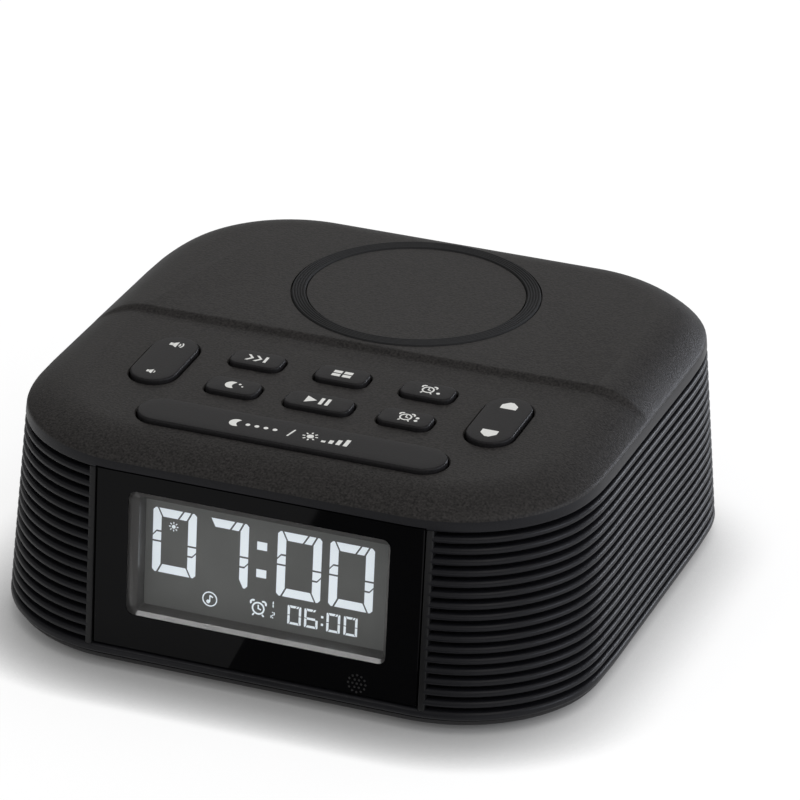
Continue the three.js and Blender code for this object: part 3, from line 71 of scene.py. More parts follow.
class NodeTree:
    """Node tree of a material, a world or a shape, built node by node."""

    def __init__(self, tree: bpy.types.NodeTree) -> None:
        """Work on an existing tree."""
        self.tree = tree

    def add(self, kind: str, inputs: Inputs | None = None,
            **settings: object) -> bpy.types.Node:
        """Add a node.

        Args:
            kind: Node type.
            inputs: Input sockets by name or index, as sockets to link or plain values.
            settings: Properties of the node.

        Returns:
            The new node.
        """
        node = self.tree.nodes.new(kind)
        for name, value in settings.items():
            setattr(node, name, value)
        self.feed(node, inputs or {})
        return node

    def feed(self, node: bpy.types.Node, inputs: Inputs) -> None:
        """Link or set inputs of a node.

        Args:
            node: The node.
            inputs: Input sockets by name or index, as sockets to link or plain values.
        """
        for key, value in inputs.items():
            if isinstance(value, NodeSocket):
                self.tree.links.new(value, node.inputs[key])
            else:
                node.inputs[key].default_value = value

    def math(self, operation: str, first: object, second: object = 0.0) -> NodeSocket:
        """Arithmetic on two sockets or numbers."""
        return self.add("ShaderNodeMath", {0: first, 1: second}, operation=operation).outputs[0]

    def span(self, value: NodeSocket, low: float, high: float) -> NodeSocket:
        """Share from 0 to 1, stretched between two values."""
        node = self.add("ShaderNodeMapRange", {"Value": value, "To Min": low, "To Max": high})
        return node.outputs["Result"]


class Grain(Enum):
    """How the tone of a finish varies: the noise's stretch along X and its detail."""

    SPECKLE = (1.0, 2.0)
    BRUSH = (0.04, 2.0)
    CLOUD = (1.0, 5.0)


def linear(colour: tuple[int, int, int]) -> tuple[float, float, float, float]:
    """Display colour as the linear values that a shader takes.

    Args:
        colour: Red, green and blue from 0 to 255.

    Returns:
        Linear red, green, blue and a full alpha.
    """
    shares = [channel / 255 for channel in colour]
    red, green, blue = (s / 12.92 if s <= 0.04045 else ((s + 0.055) / 1.055) ** 2.4 for s in shares)
    return (red, green, blue, 1.0)


@dataclass(frozen=True)
class Finish:
    """Surface finish: one shader whose tone, roughness and relief come from a fine noise."""

    name: str
    colour: tuple[int, int, int]
    roughness: float
    metallic: float = 0.0
    specular: float = 0.5
    grain: Grain = Grain.SPECKLE
    grain_size: float = 0.4
    contrast: float = 0.12
    relief: float = 0.06
    alpha: float = 1.0
    glow: float = 0.0

    def material(self) -> bpy.types.Material:
        """Material of this finish, made once.

        Returns:
            The node material.
        """
        made = bpy.data.materials.get(self.name)
        return made or self._build()

    def _build(self) -> bpy.types.Material:
        """Build the node tree of this finish.

        Returns:
            The new material.
        """
        material = bpy.data.materials.new(self.name)
        material.use_nodes = True
        tree = NodeTree(material.node_tree)
        full = linear(self.colour)
        noise = self._noise(tree)
        tone = tree.add("ShaderNodeValToRGB", {"Fac": noise})
        shares = (1 - self.contrast, 1 + self.contrast)
        for element, share, position in zip(tone.color_ramp.elements, shares, TONE_SPAN):
            element.color = (*(channel * share for channel in full[:3]), 1.0)
            element.position = position
        low, high = (min(1.0, self.roughness * share) for share in GLOSS_SPAN)
        inputs: Inputs = {
            "Metallic": self.metallic, "Specular IOR Level": self.specular, "Alpha": self.alpha,
            "Base Color": tone.outputs["Color"], "Roughness": tree.span(noise, low, high)}
        if self.glow:
            inputs |= {"Emission Color": full, "Emission Strength": self.glow}
        if self.relief:
            bump = tree.add("ShaderNodeBump", {
                "Strength": self.relief, "Distance": self.grain_size * MM, "Height": noise})
            inputs["Normal"] = bump.outputs["Normal"]
        tree.feed(material.node_tree.nodes["Principled BSDF"], inputs)
        return material

    def _noise(self, tree: NodeTree) -> NodeSocket:
        """Noise of this finish's grain in the object's own coordinates.

        Args:
            tree: Tree of the material.

        Returns:
            Socket of the noise.
        """
        stretch, detail = self.grain.value
        place = tree.add("ShaderNodeTexCoord").outputs["Object"]
        drawn = tree.add("ShaderNodeMapping", {"Vector": place, "Scale": (stretch, 1, 1)})
        noise = tree.add("ShaderNodeTexNoise", {
            "Vector": drawn.outputs["Vector"], "Scale": 1 / (self.grain_size * MM), "Detail": detail})
        return noise.outputs["Fac"]


COVER = Finish("moulded_cover", (40, 38, 37), 0.5, specular=0.22, grain_size=0.5, contrast=0.55, relief=0.16)
KEYCAP = Finish("moulded_key", (30, 29, 30), 0.42, specular=0.18, grain_size=0.34, contrast=0.25, relief=0.1)
RIB = Finish("satin_rib", (23, 23, 26), 0.36, specular=0.22, grain_size=0.3, contrast=0.15, relief=0.05)
# Near-black wall behind the ribs of the same moulding: its colour is painted shade in the grooves
PAINTED_GROOVE_SHADE = Finish("dark_grille_wall", (5, 5, 6), 0.8, specular=0.1, grain_size=0.3, relief=0.1)
STRIP = Finish("satin_strip", (21, 21, 22), 0.42, specular=0.3, grain_size=0.3, contrast=0.14)
BASE = Finish("moulded_base", (34, 33, 34), 0.55, specular=0.3, grain_size=0.5, contrast=0.2, relief=0.12)
BORDER = Finish("gloss_black_border", (4, 4, 5), 0.05, specular=0.13, grain=Grain.CLOUD, grain_size=9.0,
                relief=0.0)
PANE = Finish("smoke_pane", (12, 12, 13), 0.05, specular=0.2, grain=Grain.CLOUD, grain_size=9.0, relief=0.0,
              alpha=0.08)
BEZEL = Finish("grey_bezel", (90, 89, 88), 0.2, specular=1.0, grain_size=0.3, contrast=0.08, relief=0.02)
GLASS = Finish("segment_glass", (92, 93, 92), 0.3, specular=0.2, grain=Grain.CLOUD, grain_size=14.0,
               contrast=0.12, relief=0.0, glow=0.45)
SEGMENT = Finish("lit_segment", (222, 230, 236), 0.5, specular=0.2, grain=Grain.CLOUD, grain_size=5.0,
                 contrast=0.03, relief=0.0, glow=0.66)
LEGEND = Finish("legend_ink", (226, 226, 222), 0.6, grain_size=0.2, contrast=0.06, relief=0.03)
RUBBER = Finish("matt_rubber", (34, 34, 35), 0.85, grain_size=0.3, contrast=0.2, relief=0.12)
STEEL = Finish("drawn_steel", (176, 178, 182), 0.32, metallic=1.0, grain=Grain.BRUSH, grain_size=0.12,
               contrast=0.1, relief=0.03)
SOCKET = Finish("socket_black", (24, 24, 25), 0.5, grain_size=0.3, contrast=0.15)
GILT = Finish("gilt_contact", (212, 175, 95), 0.28, metallic=1.0, grain=Grain.BRUSH, grain_size=0.1,
              contrast=0.08, relief=0.02)
SWITCH = Finish("switch_black", (30, 30, 32), 0.6, grain_size=0.25)
BOARD = Finish("board_green", (28, 84, 52), 0.5, grain=Grain.CLOUD, grain_size=2.2, contrast=0.25)
COPPER = Finish("wound_copper", (184, 115, 60), 0.38, metallic=1.0, grain=Grain.BRUSH, grain_size=0.25,
                contrast=0.2)
FERRITE = Finish("sintered_ferrite", (44, 44, 47), 0.8, grain_size=0.5, contrast=0.2, relief=0.15)
MAGNET = Finish("plated_magnet", (92, 94, 98), 0.4, metallic=0.7, grain=Grain.CLOUD, grain_size=1.5)
CONE = Finish("pressed_cone", (26, 26, 28), 0.85, grain_size=0.6, contrast=0.3, relief=0.2)
DIFFUSER = Finish("milky_diffuser", (226, 232, 236), 0.6, grain=Grain.CLOUD, grain_size=6.0, contrast=0.04)


# Sketches, pieces and shapes made by node trees


def rounded_rect(half_x: float, half_y: float, radius: float, corner_steps: int = 8,
                 flat_steps: int = 1) -> list[Point]:
    """Rectangle with round corners, counter-clockwise from the start of the upper right-hand corner.

    Args:
        half_x: Half the width.
        half_y: Half the height.
        radius: Corner radius.
        corner_steps: Steps round each corner.
        flat_steps: Steps along each straight side.

    Returns:
        The outline's points.
    """
    radius = min(radius, half_x, half_y)
    arcs: list[list[Point]] = []
    for quarter, (sx, sy) in enumerate(((1, 1), (-1, 1), (-1, -1), (1, -1))):
        angles = [(quarter + step / corner_steps) * math.pi / 2 for step in range(corner_steps + 1)]
        arcs.append([(sx * (half_x - radius) + radius * math.cos(angle),
                      sy * (half_y - radius) + radius * math.sin(angle)) for angle in angles])
    shares = [step / flat_steps for step in range(1, flat_steps)]
    points: list[Point] = []
    for arc, following in zip(arcs, arcs[1:] + arcs[:1]):
        (x0, y0), (x1, y1) = arc[-1], following[0]
        points += arc + [(x0 + (x1 - x0) * share, y0 + (y1 - y0) * share) for share in shares]
    return points


def circle(x: float, y: float, radius: float, steps: int = 32) -> list[Point]:
    """Circle as points, counter-clockwise."""
    angles = [2 * math.pi * step / steps for step in range(steps)]
    return [(x + radius * math.cos(angle), y + radius * math.sin(angle)) for angle in angles]


def quarter_round(steps: int = 6) -> list[Point]:
    """Run and rise of a quarter round of radius 1, from its foot to its crown."""
    angles = [step * math.pi / (2 * steps) for step in range(steps + 1)]
    return [(1 - math.cos(angle), math.sin(angle)) for angle in angles]


@dataclass(frozen=True)
class Datum:
    """Flat working frame on the object: a place and its across, up and out directions."""

    origin: Vector
    across: Vector
    up: Vector
    out: Vector

    def at(self, x: float, y: float, w: float) -> Vector:
        """Point of the frame in the part's frame, in millimetres."""
        return self.origin + self.across * x + self.up * y + self.out * w

    def ring(self, points: Iterable[Point], w: float) -> Ring:
        """Outline in this frame at one height."""
        return [self.at(x, y, w) for x, y in points]

    def moved(self, origin: Vector) -> "Datum":
        """Frame with the same directions round another place."""
        return Datum(origin, self.across, self.up, self.out)


LEVEL = Datum(Vector((0, 0, 0)), Vector((1, 0, 0)), Vector((0, 1, 0)), Vector((0, 0, 1)))


class Sketch:
    """Mesh under construction, in millimetres."""

    def __init__(self) -> None:
        """Start with an empty mesh."""
        self.bm = bmesh.new()

    def loft(self, rings: Sequence[Ring], caps: bool = True, loop: bool = False) -> list[Rim]:
        """Skin through rings of equal count.

        Args:
            rings: Rings in order.
            caps: Close the first and the last ring with a face.
            loop: Join the last ring to the first one instead of capping.

        Returns:
            The corners of each ring.
        """
        made = [[self.bm.verts.new(point) for point in ring] for ring in rings]
        pairs = list(zip(made, made[1:]))
        if loop:
            pairs.append((made[-1], made[0]))
        count = len(made[0])
        for low, high in pairs:
            for i in range(count):
                j = (i + 1) % count
                self.bm.faces.new((low[i], low[j], high[j], high[i]))
        if caps and not loop:
            self.bm.faces.new(list(reversed(made[0])))
            self.bm.faces.new(made[-1])
        return made

    def join(self, other: "Sketch") -> None:
        """Take over the mesh of another sketch.

        Args:
            other: Sketch that is used up.
        """
        mesh = bpy.data.meshes.new("joined")
        other.bm.to_mesh(mesh)
        other.bm.free()
        self.bm.from_mesh(mesh)
        bpy.data.meshes.remove(mesh)

    def prism(self, points: Sequence[Point], datum: Datum, low: float, high: float) -> None:
        """Upright prism of an outline in a frame."""
        self.loft([datum.ring(points, low), datum.ring(points, high)])

    def box(self, low: Sequence[float], high: Sequence[float], datum: Datum = LEVEL) -> None:
        """Box between two corners of a frame."""
        corners = [(low[0], low[1]), (high[0], low[1]), (high[0], high[1]), (low[0], high[1])]
        self.prism(corners, datum, low[2], high[2])

    def turned(self, profile: Sequence[Point], datum: Datum, steps: int = 48, loop: bool = False) -> None:
        """Solid turned about a frame's out direction.

        Args:
            profile: Radius and height of each ring.
            datum: Frame whose origin is on the axis.
            steps: Steps round the axis.
            loop: The profile closes on itself, as for a ring.
        """
        self.loft([datum.ring(circle(0, 0, radius, steps), w) for radius, w in profile], loop=loop)

    def bevel(self, width: float, segments: int = 2, angle: float = math.radians(40)) -> None:
        """Round every edge that is sharper than an angle.

        Args:
            width: Width of the round.
            segments: Steps across it.
            angle: Edges that turn by more than this are rounded.
        """
        self.bm.normal_update()
        edges = [e for e in self.bm.edges if len(e.link_faces) == 2 and e.calc_face_angle() > angle]
        bmesh.ops.bevel(self.bm, geom=edges, offset=width, segments=segments, profile=0.5, affect="EDGES",
                        clamp_overlap=True)

    def piece(self, name: str) -> Object:
        """Finish the sketch as an object in metres.

        Args:
            name: Name of the object.

        Returns:
            The linked object with smooth shading and sharp edges by angle.
        """
        bmesh.ops.remove_doubles(self.bm, verts=self.bm.verts, dist=MERGE_DISTANCE)
        bmesh.ops.recalc_face_normals(self.bm, faces=self.bm.faces)
        bmesh.ops.scale(self.bm, vec=(MM, MM, MM), verts=self.bm.verts)
        mesh = bpy.data.meshes.new(name)
        self.bm.to_mesh(mesh)
        self.bm.free()
        obj = bpy.data.objects.new(name, mesh)
        bpy.context.scene.collection.objects.link(obj)
        shade(obj)
        return obj


def lofted(name: str, rings: Sequence[Ring], loop: bool = False) -> Object:
    """Piece skinned through rings, closed by caps or on itself.

    Args:
        name: Name of the piece.
        rings: Rings in order.
        loop: Close the skin on itself instead of capping it.

    Returns:
        The piece.
    """
    sketch = Sketch()
    sketch.loft(rings, loop=loop)
    return sketch.piece(name)


def shade(obj: Object) -> None:
    """Shade a mesh smoothly, with edges sharper than the limit kept sharp."""
    obj.data.shade_smooth()
    obj.data.set_sharp_from_angle(angle=SHARP_ANGLE)


def plain_mesh(obj: Object) -> None:
    """Turn an object's evaluated shape into its own plain mesh and remove its modifiers.

    Args:
        obj: Object to flatten.
    """
    graph = bpy.context.evaluated_depsgraph_get()
    mesh = bpy.data.meshes.new_from_object(obj.evaluated_get(graph), depsgraph=graph)
    mesh.name = obj.name
    obj.modifiers.clear()
    obj.data = mesh


def carve(obj: Object, cutter: Sketch) -> Object:
    """Cut a sketch out of an object.

    Args:
        obj: Object to cut.
        cutter: Closed shapes to cut away.

    Returns:
        The same object.
    """
    tool = cutter.piece(f"{obj.name}_cutter")
    cut = obj.modifiers.new("carve", "BOOLEAN")
    cut.operation = "DIFFERENCE"
    cut.solver = "EXACT"
    cut.object = tool
    plain_mesh(obj)
    bpy.data.objects.remove(tool)
    shade(obj)
    return obj


def settle(obj: Object, finish: Finish, body: str, slot: str | None, *nodes: str) -> None:
    """Dress a finished piece and tie it to the part.

    Args:
        obj: The piece.
        finish: Its finish.
        body: Body that it moves with.
        slot: Material slot of the record that the piece belongs to; not used.
        nodes: Nodes of the part that it stands for.
    """
    obj.data.materials.clear()
    obj.data.materials.append(finish.material())
    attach(obj, body)
    if nodes:
        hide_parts(*nodes)
    LOG.info("%s: %d faces on %s", obj.name, len(obj.data.polygons), body)


class NodeGraph(NodeTree):
    """Geometry Nodes tree with named inputs, built step by step and run once."""

    def __init__(self, name: str) -> None:
        """Start a tree with a mesh input and a mesh output.

        Args:
            name: Name of the tree.
        """
        super().__init__(bpy.data.node_groups.new(name, "GeometryNodeTree"))
        for way in ("INPUT", "OUTPUT"):
            self.tree.interface.new_socket("Geometry", in_out=way, socket_type="NodeSocketGeometry")
        self.source = self.tree.nodes.new("NodeGroupInput")
        self.target = self.tree.nodes.new("NodeGroupOutput")
        self.values: dict[str, object] = {}

    @property
    def mesh(self) -> NodeSocket:
        """Socket of the incoming mesh."""
        return self.source.outputs["Geometry"]

    def given(self, name: str, value: object, kind: str = "Float") -> NodeSocket:
        """Add a named input.

        Args:
            name: Name of the input.
            value: Its value when the tree runs.
            kind: Float, Int, Vector, Rotation or Object.

        Returns:
            The socket to link from.
        """
        item = self.tree.interface.new_socket(name, in_out="INPUT", socket_type=f"NodeSocket{kind}")
        self.values[item.identifier] = value
        return self.source.outputs[name]

    def position(self) -> list[NodeSocket]:
        """X, Y and Z of each point."""
        place = self.add("ShaderNodeSeparateXYZ", {0: self.add("GeometryNodeInputPosition").outputs[0]})
        return [place.outputs[axis] for axis in "XYZ"]

    def vector(self, x: object, y: object = 0.0, z: object = 0.0) -> NodeSocket:
        """Vector of three sockets or numbers."""
        return self.add("ShaderNodeCombineXYZ", {"X": x, "Y": y, "Z": z}).outputs[0]

    def run(self, obj: Object, result: NodeSocket, finish: Finish) -> None:
        """Close the tree, run it on an object and keep the result as a plain mesh.

        Args:
            obj: Object whose mesh goes in.
            result: Socket of the finished geometry.
            finish: Finish of the result.
        """
        real = self.add("GeometryNodeRealizeInstances", {"Geometry": result})
        dressed = self.add("GeometryNodeSetMaterial",
                           {"Geometry": real.outputs[0], "Material": finish.material()})
        self.feed(self.target, {0: dressed.outputs[0]})
        modifier = obj.modifiers.new(self.tree.name, "NODES")
        modifier.node_group = self.tree
        for identifier, value in self.values.items():
            modifier[identifier] = value
        plain_mesh(obj)
        shade(obj)


def scatter(name: str, shape: Sketch, places: Sequence[Vector], finish: Finish) -> Object:
    """Copies of one shape at several places, made by a node tree.

    Args:
        name: Name of the object.
        shape: Shape round the origin.
        places: Where the copies stand, in millimetres.
        finish: Finish of the copies.

    Returns:
        One object that holds all the copies.
    """
    pattern = shape.piece(f"{name}_pattern")
    points = Sketch()
    for place in places:
        points.bm.verts.new(place)
    obj = points.piece(name)
    graph = NodeGraph(name)
    copy = graph.add("GeometryNodeObjectInfo", {"Object": graph.given("Pattern", pattern, "Object")})
    spread = graph.add("GeometryNodeInstanceOnPoints",
                       {"Points": graph.mesh, "Instance": copy.outputs["Geometry"]})
    graph.run(obj, spread.outputs[0], finish)
    bpy.data.objects.remove(pattern)
    return obj


# Case


@dataclass(frozen=True)
class CaseForm:
    """Outside form of the case that every other sub-assembly is set into."""

    half_width: float = 66.0
    side_taper: float = 2.9
    corner: float = 32.0
    corner_steps: int = 24
    flat_steps: int = 10
    base_z: float = 1.0
    shell_z: float = 3.0
    edge_break: float = 0.6
    groove_z: float = 5.3
    groove_pitch: float = 2.39
    groove_width: float = 1.1
    groove_count: int = 17
    upper_lip: float = 2.9
    deck_height: float = 5.0
    deck_tilt: float = math.radians(1.9)
    wall: float = 3.4
    lens_half_x: float = 35.9
    lens_half_h: float = 19.7
    lens_raise: float = 0.4
    fit: float = 0.3
    panel_z: float = 19.0
    panel_half_x: float = 30.0
    panel_half_h: float = 11.0
    ease: float = 0.3
    ease_y: float = 35.5
    ease_run: float = 11.0
    ease_gain: float = 4.0
    ease_lag: float = 2.7
    least_corner: float = 0.5

    @property
    def groove_top(self) -> float:
        """Height of the groove between shell and cover."""
        return self.groove_z + (self.groove_count - 1) * self.groove_pitch

    @property
    def mid_z(self) -> float:
        """Height of the middle of the display, just above the middle of the ribbed field."""
        return (self.groove_z + self.groove_top) / 2 + self.lens_raise

    @property
    def shell_top(self) -> float:
        """Upper edge of the shell's face."""
        return self.groove_top - self.groove_width / 2

    @property
    def skirt_z(self) -> float:
        """Lower edge of the cover."""
        return self.groove_top + self.groove_width / 2

    @property
    def rim_z(self) -> float:
        """Height where the cover's crown starts."""
        return self.skirt_z + self.upper_lip

    @property
    def deck_z(self) -> float:
        """Height of the deck over the middle of the case."""
        return self.rim_z + self.deck_height

    @property
    def wide_z(self) -> float:
        """Height of the widest place."""
        return self.shell_z + self.edge_break

    @property
    def lens_open(self) -> Point:
        """Half the width and height of the display's opening."""
        return (self.lens_half_x + self.fit, self.lens_half_h + self.fit)

    @property
    def panel_open(self) -> Point:
        """Half the width and height of the rear panel's opening."""
        return (self.panel_half_x + self.fit, self.panel_half_h + self.fit)

    @property
    def draft(self) -> float:
        """Inward lean of the sides per height."""
        return self.side_taper / (self.rim_z - self.wide_z)

    def half_at(self, z: float) -> float:
        """Half the outside width at a height."""
        return self.half_width - self.draft * (z - self.wide_z)

    def ring(self, z: float, inset: float, half: float | None = None) -> Ring:
        """Outline of the case at a height, pulled in by an inset.

        Args:
            z: Height of the outline.
            inset: Distance inside the outside face.
            half: Half the width, where it does not follow from the height.

        Returns:
            The outline.
        """
        reach = (self.half_at(z) if half is None else half) - inset
        radius = max(self.corner - inset, self.least_corner)
        return LEVEL.ring(rounded_rect(reach, reach, radius, self.corner_steps, self.flat_steps), z)

    def soften(self, obj: Object) -> Object:
        """Ease the sides of a case piece in where they run into the corners.

        Args:
            obj: Piece whose outline follows the case.

        Returns:
            The same object.
        """
        for vert in obj.data.vertices:
            x, y = vert.co.x / MM, vert.co.y / MM
            offset = (abs(y) - self.ease_y) / self.ease_run
            share = min(max(abs(x) / self.half_width * self.ease_gain - self.ease_lag, 0.0), 1.0)
            if abs(offset) < 1 and share:
                pull = self.ease * math.cos(offset * math.pi / 2) ** 2 * share
                vert.co.x -= math.copysign(pull * MM, x)
        return obj

    @property
    def deck(self) -> Datum:
        """Tilted frame of the key deck: up runs to the rear."""
        sine, cosine = math.sin(self.deck_tilt), math.cos(self.deck_tilt)
        return Datum(Vector((0, 0, self.deck_z)), Vector((1, 0, 0)), Vector((0, cosine, sine)),
                     Vector((0, -sine, cosine)))

    @property
    def front(self) -> Datum:
        """Leaning frame of the display: out faces the user."""
        return self._face(-1, self.mid_z)

    @property
    def rear(self) -> Datum:
        """Leaning frame of the rear panel, seen from behind."""
        return self._face(1, self.panel_z)

    def _face(self, way: int, z: float) -> Datum:
        """Leaning frame on the front or the rear face, with out away from the case.

        Args:
            way: -1 for the front, 1 for the rear.
            z: Height of its middle.

        Returns:
            The frame.
        """
        lean = math.atan(self.draft)
        sine, cosine = math.sin(lean), math.cos(lean)
        return Datum(Vector((0, way * self.half_at(z), z)), Vector((-way, 0, 0)),
                     Vector((0, -way * sine, cosine)), Vector((0, way * cosine, sine)))


FORM = CaseForm()


@dataclass
class GrilleShell:
    """Ribbed side shell: core wall with sound slots, finished near black as painted shade in the grooves,
    rounded ribs and smooth frame strips.
    """

    rib_depth: float = 2.6
    rib_height: float = 1.5
    rib_round: float = 0.73
    core_inset: float = 1.9
    strip: float = 1.5
    strip_round: float = 0.35
    rib_bury: float = 0.8
    round_steps: int = 8
    draw_ease: float = 20.0
    lip_round: float = 0.7
    edge_steps: tuple[Point, ...] = ((0.0, 0.6), (0.12, 0.24), (0.35, 0.06), (0.6, 0.0))
    core_rise: float = 0.2
    tongue: float = 2.4
    tongue_set: float = 0.1
    strip_drop: float = 0.2
    strip_overlap: float = 0.25
    cut_depth: float = 9.0
    slot_radius: float = 15.5
    slot_height: float = 0.8
    slot_margin: float = 0.3
    slot_reach: float = 198.0
    speaker_y: float = 2.0
    path_steps: int = 20
    flat_steps: int = 12

    @property
    def rib_start(self) -> float:
        """Distance from the middle at which the ribs start, inside the display's uprights."""
        return FORM.lens_open[0] + self.rib_bury

    def build(self) -> None:
        """Make the core, the ribs and the strips."""
        # The core wall takes the painted groove shade, darker than the ribs of the same shell
        settle(FORM.soften(self._core()), PAINTED_GROOVE_SHADE, "case", "rib_plastic", "grille_shell")
        settle(FORM.soften(self._lips()), RIB, "case", "rib_plastic")
        settle(self._strips(), STRIP, "case", "rib_plastic")
        panel_top = FORM.panel_z + FORM.panel_open[1] + self.strip
        first = FORM.groove_z + FORM.groove_pitch / 2
        low_count = sum(first + i * FORM.groove_pitch < panel_top for i in range(FORM.groove_count - 1))
        high_z = first + low_count * FORM.groove_pitch
        side_paths = [self._side_path(side, first) for side in (1, -1)]
        lower = self._ribs("lower_ribs", side_paths, low_count, first)
        settle(FORM.soften(lower), RIB, "case", "rib_plastic")
        high_count = FORM.groove_count - 1 - low_count
        upper = self._ribs("upper_ribs", [self._round_path(high_z)], high_count, high_z)
        settle(FORM.soften(upper), RIB, "case", "rib_plastic")

    def _core(self) -> Object:
        """Wall behind the ribs, near black as painted groove shade, with the display, rear and sound
        openings.

        Returns:
            The carved wall.
        """
        tongue, foot = FORM.shell_top + self.tongue, FORM.shell_z + self.core_rise
        levels = [(foot, self.core_inset), (FORM.shell_top, self.core_inset),
                  (tongue, self.core_inset + self.tongue_set), (tongue, FORM.wall), (foot, FORM.wall)]
        core = lofted("grille_core", [FORM.ring(z, inset) for z, inset in levels], loop=True)
        cutter = Sketch()
        for datum, (x, h) in ((FORM.front, FORM.lens_open), (FORM.rear, FORM.panel_open)):
            cutter.box((-x, -h, -self.cut_depth), (x, h, self.cut_depth), datum)
        carve(core, cutter)
        self._sound_slots(core)
        return core

    def _sound_slots(self, core: Object) -> None:
        """Cut the sound slots of both speakers: one long cut per groove, as wide as the round field allows.

        Args:
            core: The wall to cut.
        """
        grooves = [FORM.groove_z + i * FORM.groove_pitch for i in range(FORM.groove_count)]
        open_ones = [z for z in grooves if abs(z - FORM.mid_z) < self.slot_radius - self.slot_margin]
        first = (0, self.speaker_y * MM, open_ones[0] * MM)
        graph = NodeGraph("sound_slots")
        line = graph.add("GeometryNodeMeshLine", {
            "Count": graph.given("Slots", len(open_ones), "Int"),
            "Start Location": graph.given("First slot", first, "Vector"),
            "Offset": graph.given("Pitch", (0, 0, FORM.groove_pitch * MM), "Vector")})
        z = graph.position()[2]
        rise = graph.math("SUBTRACT", z, graph.given("Field height", FORM.mid_z * MM))
        reach = graph.given("Field radius", self.slot_radius * MM)
        square, drop = graph.math("MULTIPLY", reach, reach), graph.math("MULTIPLY", rise, rise)
        span = graph.math("SUBTRACT", square, drop)
        width = graph.math("MULTIPLY", graph.math("SQRT", span), 2.0)
        size = graph.vector(graph.given("Reach", self.slot_reach * MM), width,
                            graph.given("Slot height", self.slot_height * MM))
        cube = graph.add("GeometryNodeMeshCube", {"Size": (1, 1, 1)})
        slots = graph.add("GeometryNodeInstanceOnPoints", {
            "Points": line.outputs[0], "Instance": cube.outputs[0], "Scale": size})
        real = graph.add("GeometryNodeRealizeInstances", {"Geometry": slots.outputs[0]})
        cut = graph.add("GeometryNodeMeshBoolean", {"Mesh 1": graph.mesh, "Mesh 2": real.outputs[0]},
                        operation="DIFFERENCE", solver="EXACT")
        graph.run(core, cut.outputs[0], PAINTED_GROOVE_SHADE)

    def _lips(self) -> Object:
        """Plain lower lip of the shell, below the first groove.

        Returns:
            The lip as a closed ring.
        """
        top = FORM.groove_z - (FORM.groove_pitch - self.rib_height) / 2
        levels = [(FORM.shell_z, FORM.wall)]
        levels += [(FORM.shell_z + rise, inset) for rise, inset in self.edge_steps]
        soft = self.lip_round
        levels += [(top - soft * (1 - rise), soft * run) for run, rise in quarter_round()]
        levels.append((top, FORM.wall))
        halves = [None if z > FORM.wide_z else FORM.half_width for z, _ in levels]
        rings = [FORM.ring(z, inset, half) for (z, inset), half in zip(levels, halves)]
        return lofted("shell_lip", rings, loop=True)

    def _strips(self) -> Object:
        """Smooth uprights beside the display and the frame round the rear panel.

        Returns:
            One object with all the strips.
        """
        sketch = Sketch()
        low = FORM.groove_z - FORM.groove_width / 2 - self.strip_drop
        lens, (panel, rise) = FORM.lens_open[0], FORM.panel_open
        over = rise + self.strip
        bars = [(side * lens, side * (lens + self.strip), low, FORM.skirt_z + self.strip_overlap, -1)
                for side in (-1, 1)]
        bars += [(side * panel, side * (panel + self.strip), FORM.panel_z - over, FORM.panel_z + over, 1)
                 for side in (-1, 1)]
        bars += [(-panel, panel, FORM.panel_z - over, FORM.panel_z - rise, 1),
                 (-panel, panel, FORM.panel_z + rise, FORM.panel_z + over, 1)]
        for bar in bars:
            self._upright(sketch, *bar)
        sketch.bevel(self.strip_round, 3)
        return sketch.piece("frame_strips")

    def _upright(self, sketch: Sketch, x0: float, x1: float, low: float, high: float, face: int) -> None:
        """Bar that follows the case outline between two widths.

        Args:
            sketch: Sketch that takes the bar.
            x0: First width.
            x1: Second width.
            low: Lower end.
            high: Upper end.
            face: -1 on the front face, 1 on the rear face.
        """
        rings = []
        for z in (low, high):
            outer = [Vector((x, face * self._face_y(x, z, 0), z)) for x in (x0, (x0 + x1) / 2, x1)]
            inner = [Vector((x, face * self._face_y(x, z, FORM.wall), z)) for x in (x1, x0)]
            rings.append(outer + inner)
        sketch.loft(rings)

    def _face_y(self, x: float, z: float, inset: float) -> float:
        """Distance of the front or rear face from the middle at a width and a height.

        Args:
            x: Distance from the middle.
            z: Height.
            inset: Distance inside the outside face.

        Returns:
            The distance.
        """
        half, radius = FORM.half_at(z) - inset, FORM.corner - inset
        past = max(abs(x) - (half - radius), 0.0)
        return half - radius + math.sqrt(max(radius * radius - past * past, 0.0))

    def _side_path(self, side: int, z: float) -> Ring:
        """Rib path on one side, from the display's upright to the rear frame, with outward on its right.

        Args:
            side: 1 for the right-hand side, -1 for the left.
            z: Height of the path.

        Returns:
            The path's points at the height where the ribs are widest.
        """
        flat = FORM.half_width - FORM.corner
        first = math.asin((self.rib_start - flat) / FORM.corner)
        shares = [step / self.path_steps for step in range(self.path_steps + 1)]
        ahead = [(first + (math.pi / 2 - first) * share, -1) for share in shares]
        behind = [(math.pi / 2 * (1 - share), 1) for share in shares]
        front, rear = ([(flat + FORM.corner * math.sin(angle), way * (flat + FORM.corner * math.cos(angle)))
                        for angle, way in bend] for bend in (ahead, behind))
        straight = [(FORM.half_width, flat * (2 * step / self.flat_steps - 1))
                    for step in range(1, self.flat_steps)]
        points = [*front, *straight, *rear, (FORM.panel_open[0] + self.rib_bury, FORM.half_width)]
        ordered = points if side > 0 else list(reversed(points))
        return [Vector((side * x, y, z)) for x, y in ordered]

    def _round_path(self, z: float) -> Ring:
        """Rib path from the display's right upright round the back to its left upright."""
        return self._side_path(1, z) + self._side_path(-1, z)

